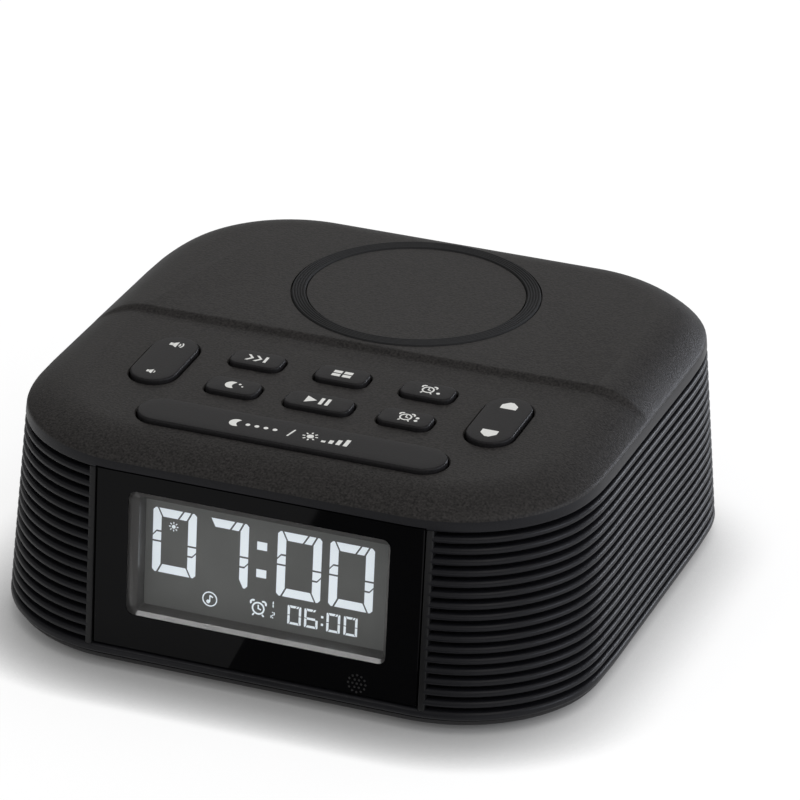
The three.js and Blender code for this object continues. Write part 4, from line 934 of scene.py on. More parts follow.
    def _ribs(self, name: str, paths: Sequence[Ring], count: int, first_z: float) -> Object:
        """Stack of ribs along paths, made by a node tree that draws each one in with the draft of the sides.

        Args:
            name: Name of the object.
            paths: Paths of the lowest rib, drawn at the widest outline.
            count: Ribs in the stack.
            first_z: Height of the lowest rib.

        Returns:
            The ribs as one mesh.
        """
        sketch = Sketch()
        for path in paths:
            verts = [sketch.bm.verts.new((p.x, p.y, 0)) for p in path]
            for a, b in zip(verts, verts[1:]):
                sketch.bm.edges.new((a, b))
        obj = sketch.piece(name)
        graph = NodeGraph(name)
        line = graph.add("GeometryNodeMeshLine", {
            "Count": graph.given("Ribs", count, "Int"),
            "Start Location": graph.given("First rib", (0, 0, first_z * MM), "Vector"),
            "Offset": graph.given("Pitch", (0, 0, FORM.groove_pitch * MM), "Vector")})
        stack = graph.add("GeometryNodeInstanceOnPoints", {
            "Points": line.outputs[0], "Instance": graph.mesh})
        loose = graph.add("GeometryNodeRealizeInstances", {"Geometry": stack.outputs[0]})
        drawn = graph.add("GeometryNodeSetPosition", {
            "Geometry": loose.outputs[0], "Position": self._drawn_in(graph)})
        curve = graph.add("GeometryNodeMeshToCurve", {0: drawn.outputs[0]})
        upright = graph.add("GeometryNodeSetCurveNormal", {0: curve.outputs[0]}, mode="Z_UP")
        depth = graph.given("Rib depth", self.rib_depth * MM)
        rect = graph.add("GeometryNodeCurvePrimitiveQuadrilateral", {
            "Width": depth, "Height": graph.given("Rib height", self.rib_height * MM)})
        soft = graph.add("GeometryNodeFilletCurve", {
            "Curve": rect.outputs[0], "Count": graph.given("Round steps", self.round_steps, "Int"),
            "Radius": graph.given("Rib round", self.rib_round * MM)}, mode="POLY")
        shift = graph.vector(graph.math("MULTIPLY", depth, -0.5))
        profile = graph.add("GeometryNodeTransform", {"Geometry": soft.outputs[0], "Translation": shift})
        ribs = graph.add("GeometryNodeCurveToMesh", {
            "Curve": upright.outputs[0], "Profile Curve": profile.outputs[0], "Fill Caps": True})
        graph.run(obj, ribs.outputs[0], RIB)
        return obj

    def _drawn_in(self, graph: NodeGraph) -> NodeSocket:
        """Place of each path point after the sides lean in: flats move in, corner arcs keep their radius.

        Args:
            graph: Tree that takes the nodes.

        Returns:
            Socket of the new position.
        """
        x, y, z = graph.position()
        rise = graph.math("SUBTRACT", z, graph.given("Widest height", FORM.wide_z * MM))
        pull = graph.math("MULTIPLY", rise, graph.given("Draft", FORM.draft))
        flat = graph.given("Corner centre", (FORM.half_width - FORM.corner) * MM)
        radius = graph.given("Corner radius", FORM.corner * MM)
        fixed = graph.given("Fixed width", self.rib_start * MM)
        across, along = graph.math("ABSOLUTE", x), graph.math("ABSOLUTE", y)
        ease_run = graph.given("Ease", self.draw_ease * MM)
        past = graph.math("DIVIDE", graph.math("SUBTRACT", across, fixed), ease_run)
        ease = graph.math("MINIMUM", graph.math("MAXIMUM", past, 0.0), 1.0)
        across = graph.math("SUBTRACT", across, graph.math("MULTIPLY", pull, ease))
        share = graph.math("MINIMUM", graph.math("DIVIDE", along, flat), 1.0)
        along = graph.math("SUBTRACT", along, graph.math("MULTIPLY", pull, share))
        centre = graph.math("SUBTRACT", flat, pull)
        side = graph.math("MAXIMUM", graph.math("SUBTRACT", across, centre), 0.0)
        ahead = graph.math("MAXIMUM", graph.math("SUBTRACT", along, centre), 0.0)
        square = graph.math("ADD", graph.math("MULTIPLY", side, side), graph.math("MULTIPLY", ahead, ahead))
        reach = graph.math("MAXIMUM", graph.math("SQRT", square), 1e-6)
        scale = graph.math("DIVIDE", radius, reach)
        centred_x = graph.math("SUBTRACT", across, side)
        centred_y = graph.math("SUBTRACT", along, ahead)
        new_x = graph.math("ADD", centred_x, graph.math("MULTIPLY", side, scale))
        new_y = graph.math("ADD", centred_y, graph.math("MULTIPLY", ahead, scale))
        return graph.vector(graph.math("MULTIPLY", new_x, graph.math("SIGN", x)),
                            graph.math("MULTIPLY", new_y, graph.math("SIGN", y)), z)


@dataclass
class TopCover:
    """Crowned cover with a plain lip, the step to the charging deck and the key openings."""

    crown: float = 12.0
    crown_rings: int = 18
    edge: float = 0.6
    edge_drop: float = 0.5
    edge_shares: tuple[float, ...] = (0.25, 0.6, 1.0)
    step_y: float = -4.3
    step_run: float = 1.7
    step_rise: float = 0.95
    step_soft: float = 0.45
    step_cuts: int = 8
    wall: float = 2.2
    skirt: float = 1.3
    skirt_round: float = 0.6
    flare: float = 0.3
    ring_y: float = 26.0
    ring_outer: float = 27.0
    ring_inner: float = 24.0
    ring_sink: float = 0.8
    ring_proud: float = 0.3
    ring_ribs: int = 5
    ring_profile: tuple[Point, ...] = ((0.08, 0.35), (0.3, 1.0), (0.7, 1.0), (0.92, 0.35))
    cut_over: float = 1.0
    notch_front: float = 3.0

    @property
    def platform(self) -> float:
        """Height of the charging deck."""
        return FORM.deck_z + math.tan(FORM.deck_tilt) * self.step_y + self.step_rise

    @property
    def step_span(self) -> Point:
        """Where the soft step starts and ends along Y."""
        return (self.step_y - self.step_soft, self.step_y + self.step_run + self.step_soft)

    def deck_at(self, y: float) -> float:
        """Height of the deck along Y, with the soft step.

        Args:
            y: Place along Y.

        Returns:
            The height.
        """
        start, end = self.step_span
        share = min(max((y - start) / (end - start), 0.0), 1.0)
        ease = share * share * (3 - 2 * share)
        sloped = FORM.deck_z + math.tan(FORM.deck_tilt) * min(y, self.step_y)
        return sloped + (self.platform - sloped) * ease

    def build(self, keys: "KeyPad") -> None:
        """Make the skin, cut its openings and lay the anti-slip ring.

        Args:
            keys: Key pad whose openings go through the deck.
        """
        sketch = Sketch()
        self._skin(sketch, 0.0, 0.0)
        self._skin(sketch, self.skirt, self.wall)
        skin = sketch.piece("cover_skin")
        cutter = keys.openings(self.flare)
        seat = LEVEL.moved(Vector((0, self.ring_y, self.platform)))
        inner, outer = self.ring_inner - FORM.fit, self.ring_outer + FORM.fit
        profile = [(inner, -self.ring_sink), (outer, -self.ring_sink), (outer, self.cut_over),
                   (inner, self.cut_over)]
        cutter.turned(profile, seat, steps=96, loop=True)
        half_x, top = FORM.lens_open
        cutter.box((-half_x, 0, -self.skirt - self.cut_over), (half_x, top, self.notch_front), FORM.front)
        carve(skin, cutter)
        settle(FORM.soften(skin), COVER, "case", "cover_plastic", "top_cover")
        self._satin_lip(skin)
        settle(self._slip_ring(seat), RUBBER, "case", "rubber", "anti_slip_ring")

    def _skin(self, sketch: Sketch, inset: float, drop: float) -> None:
        """One surface of the cover, from the lower edge of its skirt over the crown.

        Args:
            sketch: Sketch that takes the surface.
            inset: Distance inside the outer surface.
            drop: Depth below the outer surface.
        """
        half = FORM.half_at(FORM.rim_z)
        soft = self.skirt_round
        lip = FORM.rim_z - self.edge_drop
        if drop:
            rings = [FORM.ring(FORM.skirt_z, inset), FORM.ring(lip, inset)]
        else:
            rings = [FORM.ring(FORM.skirt_z, self.skirt)]
            rings += [FORM.ring(FORM.skirt_z + soft * run, soft * (1 - rise))
                      for run, rise in quarter_round()]
            rings.append(FORM.ring(lip, 0, half))
        first_crown = len(rings)
        shares = [share * self.edge for share in self.edge_shares]
        spacing = (self.crown - self.edge) / self.crown_rings
        shares += [self.edge + spacing * i for i in range(1, self.crown_rings + 1)]
        rings += [FORM.ring(FORM.rim_z, inset + share, half) for share in shares]
        surface = Sketch()
        made = surface.loft(rings, caps=False)
        bm = surface.bm
        bm.faces.new(made[-1])
        crowned = {vert for ring in made[first_crown:] for vert in ring}
        start, end = self.step_span
        for i in range(self.step_cuts + 1):
            plane = (0, start + (end - start) * i / self.step_cuts, 0)
            geometry = bm.verts[:] + bm.edges[:] + bm.faces[:]
            bmesh.ops.bisect_plane(bm, geom=geometry, plane_co=plane, plane_no=(0, 1, 0),
                                   dist=CUT_DISTANCE)
        for vert in bm.verts:
            depth = self._inset(vert.co.x, vert.co.y, half) - inset
            if vert in crowned or depth > MERGE_DISTANCE and vert.co.z > FORM.skirt_z + soft:
                vert.co.z = self._height(depth, vert.co.y) - drop
        sketch.join(surface)

    def _satin_lip(self, skin: Object) -> None:
        """Give the plain lip under the crown the satin finish of the ribs.

        Args:
            skin: The finished cover.
        """
        skin.data.materials.append(RIB.material())
        limit = (FORM.rim_z - self.edge_drop) * MM
        for face in skin.data.polygons:
            face.material_index = int(face.center.z < limit)

    def _inset(self, x: float, y: float, half: float) -> float:
        """Distance of a place from the rim's outline, positive inside.

        Args:
            x: Place along X.
            y: Place along Y.
            half: Half the width of the rim.

        Returns:
            The distance.
        """
        flat = half - FORM.corner
        side, ahead = abs(x) - flat, abs(y) - flat
        outside = math.hypot(max(side, 0.0), max(ahead, 0.0))
        return FORM.corner - outside - min(max(side, ahead), 0.0)

    def _height(self, depth: float, y: float) -> float:
        """Height of the crown at a distance from the rim.

        Args:
            depth: Distance inside the rim.
            y: Place along Y.

        Returns:
            The height of the outer surface.
        """
        rise = self.deck_at(y) - FORM.rim_z
        edge_rise = rise * (1 - (1 - self.edge / self.crown) ** 2)
        if depth < self.edge:
            turn = math.sqrt(max(depth, 0.0) / self.edge)
            return FORM.rim_z - self.edge_drop * (1 - turn) ** 2 + edge_rise * turn * turn
        share = min(depth / self.crown, 1.0)
        return FORM.rim_z + rise * (1 - (1 - share) ** 2)

    def _slip_ring(self, seat: Datum) -> Object:
        """Rubber ring with fine concentric ribs in the charging deck.

        Args:
            seat: Frame on the charging deck.

        Returns:
            The ring.
        """
        sketch = Sketch()
        profile: list[Point] = [(self.ring_inner, -self.ring_sink)]
        width = (self.ring_outer - self.ring_inner) / self.ring_ribs
        for rib in range(self.ring_ribs):
            start = self.ring_inner + rib * width
            profile += [(start + share * width, rise * self.ring_proud) for share, rise in self.ring_profile]
        profile.append((self.ring_outer, -self.ring_sink))
        sketch.turned(profile, seat, steps=128, loop=True)
        return sketch.piece("slip_ring")


# Keys


class Stamp:
    """Flat printed sign made of simple shapes round its own middle."""

    def __init__(self, x: float, y: float, size: float = 1.0) -> None:
        """Start an empty sign of a size at a place on its surface."""
        self.x, self.y, self.size = x, y, size
        self.shapes: list[list[Point]] = []

    def polygon(self, *points: Point) -> None:
        """Add a filled outline."""
        self.shapes.append([(self.x + px * self.size, self.y + py * self.size) for px, py in points])

    def bar(self, x0: float, y0: float, x1: float, y1: float) -> None:
        """Add an upright rectangle."""
        self.polygon((x0, y0), (x1, y0), (x1, y1), (x0, y1))

    def stroke(self, x0: float, y0: float, x1: float, y1: float, width: float) -> None:
        """Add a straight line of a width.

        Args:
            x0: Start across.
            y0: Start upwards.
            x1: End across.
            y1: End upwards.
            width: Width of the line.
        """
        along = Vector((x1 - x0, y1 - y0)).normalized() * (width / 2)
        nx, ny = -along.y, along.x
        self.polygon((x0 + nx, y0 + ny), (x0 - nx, y0 - ny), (x1 - nx, y1 - ny), (x1 + nx, y1 + ny))

    def disc(self, x: float, y: float, radius: float) -> None:
        """Add a filled circle."""
        self.polygon(*circle(x, y, radius, 20))

    def arc(self, x: float, y: float, radius: float, width: float, start: float, end: float) -> None:
        """Add an arc of a width between two angles in degrees.

        Args:
            x: Middle across.
            y: Middle upwards.
            radius: Radius of the line's middle.
            width: Width of the line.
            start: First angle.
            end: Last angle.
        """
        pieces = math.ceil((end - start) / 90)
        for piece in range(pieces):
            first = start + (end - start) * piece / pieces
            last = start + (end - start) * (piece + 1) / pieces
            angles = [math.radians(first + (last - first) * i / 6) for i in range(7)]
            outer, inner = ([(x + r * math.cos(a), y + r * math.sin(a)) for a in angles]
                            for r in (radius + width / 2, radius - width / 2))
            self.polygon(*outer, *reversed(inner))

    def crescent(self, x: float, y: float, radius: float) -> None:
        """Add a crescent moon that opens to the right.

        Args:
            x: Middle across.
            y: Middle upwards.
            radius: Outer radius.
        """
        angles = [math.radians(60 + 240 * i / 16) for i in range(17)]
        outer = [(x + radius * math.cos(a), y + radius * math.sin(a)) for a in angles]
        tip_x, low, high = outer[-1][0], outer[-1][1], outer[0][1]
        shares = [i / 12 for i in range(1, 12)]
        inner = [(tip_x - 1.68 * radius * s * (1 - s), low + (high - low) * s) for s in shares]
        self.polygon(*outer, *inner)

    def sun(self, x: float, y: float, radius: float, start: float, end: float, width: float) -> None:
        """Add a sun.

        Args:
            x: Middle across.
            y: Middle upwards.
            radius: Radius of its disc.
            start: Distance from the middle where the rays start.
            end: Distance where they end.
            width: Width of a ray.
        """
        self.disc(x, y, radius)
        for ray in range(8):
            cosine, sine = math.cos(ray * math.pi / 4), math.sin(ray * math.pi / 4)
            self.stroke(x + start * cosine, y + start * sine, x + end * cosine, y + end * sine, width)

    def draw(self, sketch: Sketch, datum: Datum, low: float, high: float) -> None:
        """Raise the sign as thin prisms in a sketch."""
        for points in self.shapes:
            sketch.prism(points, datum, low, high)


def speaker_sign(stamp: Stamp, waves: int) -> None:
    """Loudspeaker with a number of sound waves.

    Args:
        stamp: Sign to draw.
        waves: Number of sound waves.
    """
    stamp.bar(-1.0, -0.35, -0.55, 0.35)
    stamp.polygon((-0.5, -0.35), (0.1, -0.8), (0.1, 0.8), (-0.5, 0.35))
    for wave in range(waves):
        stamp.arc(0, 0, 0.5 + 0.42 * wave, 0.2, -42, 42)


def arrow_sign(stamp: Stamp, way: int) -> None:
    """House-shaped arrow that points to the rear or to the front.

    Args:
        stamp: Sign to draw.
        way: 1 for the rear, -1 for the front.
    """
    stamp.polygon((-1, -0.8 * way), (1, -0.8 * way), (1, 0.1 * way), (0.25, 0.85 * way), (-0.25, 0.85 * way),
                  (-1, 0.1 * way))


def search_sign(stamp: Stamp) -> None:
    """Two chevrons that run towards a bar.

    Args:
        stamp: Sign to draw.
    """
    for shift in (-2.5, -0.6):
        stamp.polygon((shift, 1.25), (shift + 0.6, 1.25), (shift + 1.7, 0), (shift + 0.6, -1.25),
                      (shift, -1.25), (shift + 1.1, 0))
    stamp.bar(1.6, -1.25, 2.2, 1.25)


def choice_sign(stamp: Stamp) -> None:
    """Four equal fields.

    Args:
        stamp: Sign to draw.
    """
    for x in (-2.1, 0.25):
        for y in (-1.25, 0.2):
            stamp.bar(x, y, x + 1.85, y + 1.05)


def bell_sign(stamp: Stamp, count: int) -> None:
    """Alarm clock face with bells, feet and a number of dots.

    Args:
        stamp: Sign to draw.
        count: Number of dots.
    """
    stamp.arc(0, 0, 1.2, 0.34, 0, 360)
    stamp.stroke(0, -0.1, 0, 0.75, 0.28)
    stamp.stroke(-0.1, 0, 0.6, -0.25, 0.28)
    for side in (-1, 1):
        middle = 90 - 45 * side
        stamp.arc(side * 1.1, 1.1, 0.5, 0.4, middle - 80, middle + 80)
        stamp.stroke(side * 0.85, -1.2, side * 1.2, -1.65, 0.32)
    for dot in range(count):
        stamp.disc(2.5, -0.9 + 1.2 * dot, 0.4)


def night_sign(stamp: Stamp) -> None:
    """Crescent moon with two small dots.

    Args:
        stamp: Sign to draw.
    """
    stamp.crescent(-0.4, 0, 1.45)
    stamp.disc(1.2, 0.75, 0.3)
    stamp.disc(2.0, -0.1, 0.22)


def play_sign(stamp: Stamp) -> None:
    """Play triangle and pause bars.

    Args:
        stamp: Sign to draw.
    """
    stamp.polygon((-2.9, -1.4), (-0.5, 0), (-2.9, 1.4))
    stamp.bar(0.2, -1.4, 0.95, 1.4)
    stamp.bar(1.6, -1.4, 2.35, 1.4)


def snooze_sign(stamp: Stamp) -> None:
    """Moon with dots, a divider, and a sun with rising bars.

    Args:
        stamp: Sign to draw.
    """
    stamp.crescent(-12.2, 0, 1.5)
    for dot in range(4):
        stamp.disc(-9.6 + 2.0 * dot, 0, 0.5)
    stamp.stroke(-0.35, -1.5, 0.35, 1.5, 0.35)
    stamp.sun(4.2, 0, 0.75, 1.1, 1.7, 0.32)
    for bar in range(4):
        stamp.bar(7.0 + 1.6 * bar, -1.4, 7.9 + 1.6 * bar, -0.7 + 0.7 * bar)


@dataclass(frozen=True)
class Key:
    """One key: its place and size on the deck, whether it has a flange, and its signs by shift and size."""

    name: str
    x: float
    y: float
    width: float
    depth: float
    corner: float
    flange: bool
    signs: tuple[tuple[float, float, Callable[[Stamp], None]], ...]
    least_corner: float = 0.05

    def outline(self, margin: float) -> list[Point]:
        """Outline on the deck, grown by a margin.

        Args:
            margin: Distance outside the key.

        Returns:
            The outline.
        """
        radius = max(self.corner + margin, self.least_corner)
        points = rounded_rect(self.width / 2 + margin, self.depth / 2 + margin, radius)
        return [(self.x + x, self.y + y) for x, y in points]


@dataclass
class KeyPad:
    """Press keys, snooze bar and rockers with their printed signs."""

    gap: float = 0.35
    proud: float = 0.9
    round: float = 0.45
    shoulder: float = 0.06
    pillow: tuple[Point, ...] = ((1.2, 0.03), (2.2, 0.008), (3.0, 0.0))
    print_height: float = 0.035
    print_sink: float = 0.25
    flange_reach: float = 0.8
    cover_wall: float = 2.2
    flange_thickness: float = 1.0
    cut_over: float = 2.0
    flare_over: float = 0.02
    pitch: float = 19.2
    rear_row: float = -17.4
    near_row: float = -30.5
    small: Triple = (11.4, 6.6, 2.2)
    play: Triple = (14.5, 6.6, 2.2)
    bar: Triple = (67.8, 10.1, 5.05)
    bar_y: float = -45.8
    rocker: Triple = (10.1, 21.0, 5.05)
    rocker_x: float = 37.5
    rocker_y: float = -24.4
    keys: list[Key] = field(default_factory=list)

    def __post_init__(self) -> None:
        """Lay out the keys."""
        small = [
            ("key_scan", -1, self.rear_row, self.small, search_sign),
            ("key_mode", 0, self.rear_row, self.small, choice_sign),
            ("key_alarm_one", 1, self.rear_row, self.small, lambda stamp: bell_sign(stamp, 1)),
            ("key_sleep", -1, self.near_row, self.small, night_sign),
            ("key_play", 0, self.near_row, self.play, play_sign),
            ("key_alarm_two", 1, self.near_row, self.small, lambda stamp: bell_sign(stamp, 2)),
        ]
        for name, column, y, size, sign in small:
            self.keys.append(Key(name, column * self.pitch, y, *size, True, ((0.0, 1.0, sign),)))
        self.keys.append(Key("snooze_bar", 0.0, self.bar_y, *self.bar, True, ((0.0, 1.0, snooze_sign),)))
        loud = ((6.6, 1.55, lambda stamp: speaker_sign(stamp, 2)),
                (-6.6, 1.2, lambda stamp: speaker_sign(stamp, 1)))
        step = ((6.4, 1.75, lambda stamp: arrow_sign(stamp, 1)),
                (-6.4, 1.75, lambda stamp: arrow_sign(stamp, -1)))
        for name, side, signs in (("volume_rocker", -1, loud), ("tuning_rocker", 1, step)):
            self.keys.append(Key(name, side * self.rocker_x, self.rocker_y, *self.rocker, False, signs))

    def openings(self, flare: float) -> Sketch:
        """Cutters for the key openings, flared at the deck so that their edges are broken.

        Args:
            flare: Width of the broken edge.

        Returns:
            The cutters.
        """
        cutter = Sketch()
        for key in self.keys:
            levels = [(0.0, -2 * self.cover_wall), (0.0, -flare), (flare, self.flare_over),
                      (flare, self.cut_over)]
            cutter.loft([FORM.deck.ring(key.outline(self.gap + margin), w) for margin, w in levels])
        return cutter

    def build(self) -> None:
        """Make every key cap and its print."""
        for key in self.keys:
            settle(self._cap(key), KEYCAP, f"{key.name}_body", "key_plastic", key.name)
            settle(self._print(key), LEGEND, f"{key.name}_body", None)

    def _cap(self, key: Key) -> Object:
        """Cap with a rounded edge, a faint pillow and its flange below the cover.

        Args:
            key: The key.

        Returns:
            The cap.
        """
        reach = self.gap + self.flange_reach
        top = -self.cover_wall - FORM.fit
        low = top - self.flange_thickness
        levels = [(reach, low), (reach, top), (0.0, top)] if key.flange else [(0.0, -self.cover_wall)]
        side = self.proud - self.round - self.shoulder
        levels.append((0.0, side))
        levels += [(-self.round * run, side + self.round * rise) for run, rise in quarter_round()[1:]]
        levels += [(-inset, self.proud - drop) for inset, drop in self.pillow]
        return lofted(f"{key.name}_cap", [FORM.deck.ring(key.outline(margin), w) for margin, w in levels])

    def _print(self, key: Key) -> Object:
        """Printed signs of a key.

        Args:
            key: The key.

        Returns:
            The print as thin raised shapes.
        """
        sketch = Sketch()
        for shift, size, sign in key.signs:
            stamp = Stamp(key.x, key.y + shift, size)
            sign(stamp)
            stamp.draw(sketch, FORM.deck, self.proud - self.print_sink, self.proud + self.print_height)
        return sketch.piece(f"{key.name}_print")


# Display


class SegmentShape(Enum):
    """Digits that the display shows, as the segments that are lit."""

    ZERO = "abcdef"
    ONE = "bc"
    TWO = "abdeg"
    SIX = "acdefg"
    SEVEN = "abc"


@dataclass(frozen=True)
class DigitRow:
    """Digits of one size on one line, each with its left edge, and the dots between them."""

    h: float
    wide: float
    tall: float
    stroke: float
    digits: tuple[tuple[SegmentShape, float], ...]
    dots: tuple[tuple[float, float, float, float], ...] = ()


DIGIT_ROWS = (
    DigitRow(-4.1, 9.7, 14.4, 1.85,
             ((SegmentShape.ZERO, -25.8), (SegmentShape.SEVEN, -14.2), (SegmentShape.ZERO, 1.9),
              (SegmentShape.ZERO, 13.4)),
             ((-2.6, -0.95, -0.4, 0.85), (-2.6, 5.2, -0.4, 7.0))),
    DigitRow(-10.0, 3.0, 4.2, 0.5,
             ((SegmentShape.ZERO, 4.6), (SegmentShape.SIX, 8.3), (SegmentShape.ZERO, 13.2),
              (SegmentShape.ZERO, 17.0)),
             ((12.0, -9.0, 12.5, -8.5), (12.0, -7.3, 12.5, -6.8))),
    DigitRow(-7.1, 0.9, 1.4, 0.24, ((SegmentShape.ONE, 0.6),)),
    DigitRow(-9.5, 0.9, 1.4, 0.24, ((SegmentShape.TWO, 0.9),)),
)


@dataclass
class Display:
    """Gloss border, smoke pane, grey window frame and the lit segment display."""

    lens_recess: float = 0.4
    lens_thickness: float = 1.5
    lip: float = 0.2
    relief: float = 1.6
    window_half_x: float = 28.7
    window_half_h: float = 13.8
    window_h: float = 1.95
    frame_h: float = 1.15
    window_corner: float = 1.8
    bevel: float = 1.4
    bevel_depth: float = 0.92
    sill_drop: float = 0.5
    frame_front: float = 2.2
    frame_back: float = 6.6
    glass_front: float = 6.9
    lens_corner: float = 0.3
    lens_edge: float = 0.2
    frame_corner: float = 0.6
    least_corner: float = 0.4
    pane_gap: float = 0.02
    pane_sink: float = 0.03
    segment_low: float = 0.05
    segment_high: float = 0.06
    digit_waist: float = 0.48
    digit_cut: float = 0.64
    mitre: float = 0.5
    lean: float = 0.3
    knee: float = 0.45
    slit_share: float = 0.085
    slit_least: float = 0.05
    broken_stroke: float = 1.0
    break_near: float = 0.7
    break_far: float = 1.22
    clock_place: Point = (-1.9, -7.9)
    clock_size: float = 1.05
    note_place: Point = (-12.7, -8.0)
    sun_place: Point = (-21.2, 6.6)
    mic_x: float = 22.8
    mic_h: float = -17.1
    mic_rings: tuple[tuple[float, int], ...] = ((0.95, 6), (1.9, 12))
    mic_stud: tuple[Point, ...] = ((0.26, -0.25), (0.26, 0.0), (0.16, 0.03))

    def build(self) -> None:
        """Make the lens, the frame, the segments and the microphone holes."""
        settle(self._border(), BORDER, "case", "lens", "display_lens")
        settle(self._pane(), PANE, "case", "lens")
        settle(self._frame(), BEZEL, "case", "bezel", "display_bezel")
        settle(self._segments(), SEGMENT, "case", "display")
        settle(self._microphone_dots(), BASE, "case", "lens")

    def _window(self, inset: float, middle: float) -> list[Point]:
        """Rounded outline round the window's middle height, drawn in by an inset.

        Args:
            inset: Distance inside the window.
            middle: Height of its middle.

        Returns:
            The outline.
        """
        corner = max(self.window_corner - inset, self.least_corner)
        outline = rounded_rect(self.window_half_x - inset, self.window_half_h - inset, corner)
        return [(x, h + middle) for x, h in outline]

    def _border(self) -> Object:
        """Gloss black border whose window is relieved from behind to a thin lip.

        Returns:
            The border.
        """
        front, edge = -self.lens_recess, self.lens_edge
        back = front - self.lens_thickness
        outer, tight = (rounded_rect(FORM.lens_half_x - inset, FORM.lens_half_h - inset, self.lens_corner)
                        for inset in (0.0, edge))
        window = self._window(0.0, self.window_h)
        relief = self._window(-self.relief, self.window_h)
        rings = [(outer, back), (outer, front - edge), (tight, front), (window, front),
                 (window, front - self.lip), (relief, back)]
        return lofted("display_border", [FORM.front.ring(points, w) for points, w in rings], loop=True)

    def _pane(self) -> Object:
        """Clear sheet in the border's window.

        Returns:
            The sheet.
        """
        outline = self._window(self.pane_gap, self.window_h)
        front = -self.lens_recess - self.pane_sink
        back = front - self.lip + 2 * self.pane_sink
        return lofted("display_pane", [FORM.front.ring(outline, w) for w in (back, front)])

    def _frame(self) -> Object:
        """Grey frame behind the lens whose bevelled walls lead down to the display.

        Returns:
            The frame.
        """
        outer = rounded_rect(FORM.lens_half_x, FORM.lens_half_h, self.frame_corner)
        edge = self._window(0.0, self.frame_h)
        inner = [(x, h if h > self.frame_h else h - self.sill_drop)
                 for x, h in self._window(self.bevel, self.frame_h)]
        rings = [FORM.front.ring(points, -depth) for points, depth in (
            (outer, self.frame_back), (outer, self.frame_front), (edge, self.frame_front))]
        deep = -self.frame_front - self.bevel_depth
        sill = deep + self.bevel_depth / self.bevel * self.sill_drop
        rings.append([FORM.front.at(x, h, sill if h < self.frame_h else deep) for x, h in inner])
        rings.append(FORM.front.ring(inner, -self.frame_back))
        return lofted("window_frame", rings, loop=True)

    def _segments(self) -> Object:
        """Lit time, alarm time and signs on the display glass.

        Returns:
            The segments as thin raised shapes.
        """
        time = Stamp(0, 0)
        for row in DIGIT_ROWS:
            for digit, x in row.digits:
                self._digit(time, row, digit, x)
            for dot in row.dots:
                time.bar(*dot)
        clock = Stamp(*self.clock_place, self.clock_size)
        bell_sign(clock, 0)
        note = Stamp(*self.note_place)
        note.arc(0, 0, 1.55, 0.26, 0, 360)
        note.disc(-0.35, -0.6, 0.42)
        note.stroke(0.02, -0.6, 0.02, 0.85, 0.24)
        note.stroke(0.02, 0.8, 0.7, 0.45, 0.3)
        sun = Stamp(*self.sun_place)
        sun.sun(0, 0, 0.42, 0.65, 1.05, 0.18)
        sketch = Sketch()
        low, high = -self.glass_front - self.segment_low, -self.glass_front + self.segment_high
        for stamp in (time, clock, note, sun):
            stamp.draw(sketch, FORM.front, low, high)
        return sketch.piece("lit_segments")

    def _digit(self, stamp: Stamp, row: DigitRow, digit: SegmentShape, x: float) -> None:
        """Add one digit: chamfered uprights, mitred crossbars and stepped breaks.

        Args:
            stamp: Sign that takes the digit.
            row: Line and size of the digit.
            digit: The digit.
            x: Left edge.
        """
        h, stroke = row.h, row.stroke
        slit = self.slit_share * stroke + self.slit_least
        right, top, middle = x + row.wide, h + row.tall, h + self.digit_waist * row.tall
        mitre, lean = self.mitre * stroke, self.lean * stroke
        lit = digit.value
        if "a" in lit:
            cut, low = x + self.digit_cut * row.wide, top - stroke
            stamp.polygon((x + mitre + 2 * slit, top), (cut + lean - slit, top), (cut - lean - slit, low),
                          (x + stroke + 2 * slit, low))
            stamp.polygon((cut + lean + slit, top), (right - mitre - 2 * slit, top),
                          (right - stroke - 2 * slit, low), (cut - lean + slit, low))
        if "d" in lit:
            stamp.polygon((x + mitre + 2 * slit, h), (right - mitre - 2 * slit, h),
                          (right - stroke - 2 * slit, h + stroke), (x + stroke + 2 * slit, h + stroke))
        if "g" in lit:
            stamp.bar(x + stroke + slit, middle - stroke / 2, right - stroke - slit, middle + stroke / 2)
        near, far = self.break_near * stroke, self.break_far * stroke
        for name, edge, side, end, way in (("f", x, -1, top, 1), ("e", x, -1, h, -1),
                                           ("b", right, 1, top, 1), ("c", right, 1, h, -1)):
            if name not in lit:
                continue
            inner, knee = edge - side * stroke, edge - side * self.knee * stroke
            broken = stroke > self.broken_stroke and name in "fc"
            foot, inner_foot = (middle + way * near, middle + way * far) if broken else (middle, middle)
            gap = way * slit
            stamp.polygon((edge, foot + gap), (edge, end - way * lean), (edge - side * lean, end),
                          (edge - side * mitre, end), (inner, end - way * stroke), (inner, inner_foot + gap),
                          (knee, inner_foot + gap))
            if broken:
                stamp.polygon((edge, middle + gap), (edge, foot - gap), (knee, inner_foot - gap),
                              (inner, inner_foot - gap), (inner, middle + gap))

    def _microphone_dots(self) -> Object:
        """Rosette of small holes in the border, as shallow studs of a lighter tone.

        Returns:
            The rosette.
        """
        stud = Sketch()
        stud.turned(self.mic_stud, FORM.front.moved(Vector()), steps=8)
        places = [(0.0, 0.0)]
        for radius, count in self.mic_rings:
            places += circle(0, 0, radius, count)
        front = -self.lens_recess
        points = [FORM.front.at(self.mic_x + x, self.mic_h + h, front) for x, h in places]
        return scatter("microphone_rosette", stud, points, BASE)


# Base


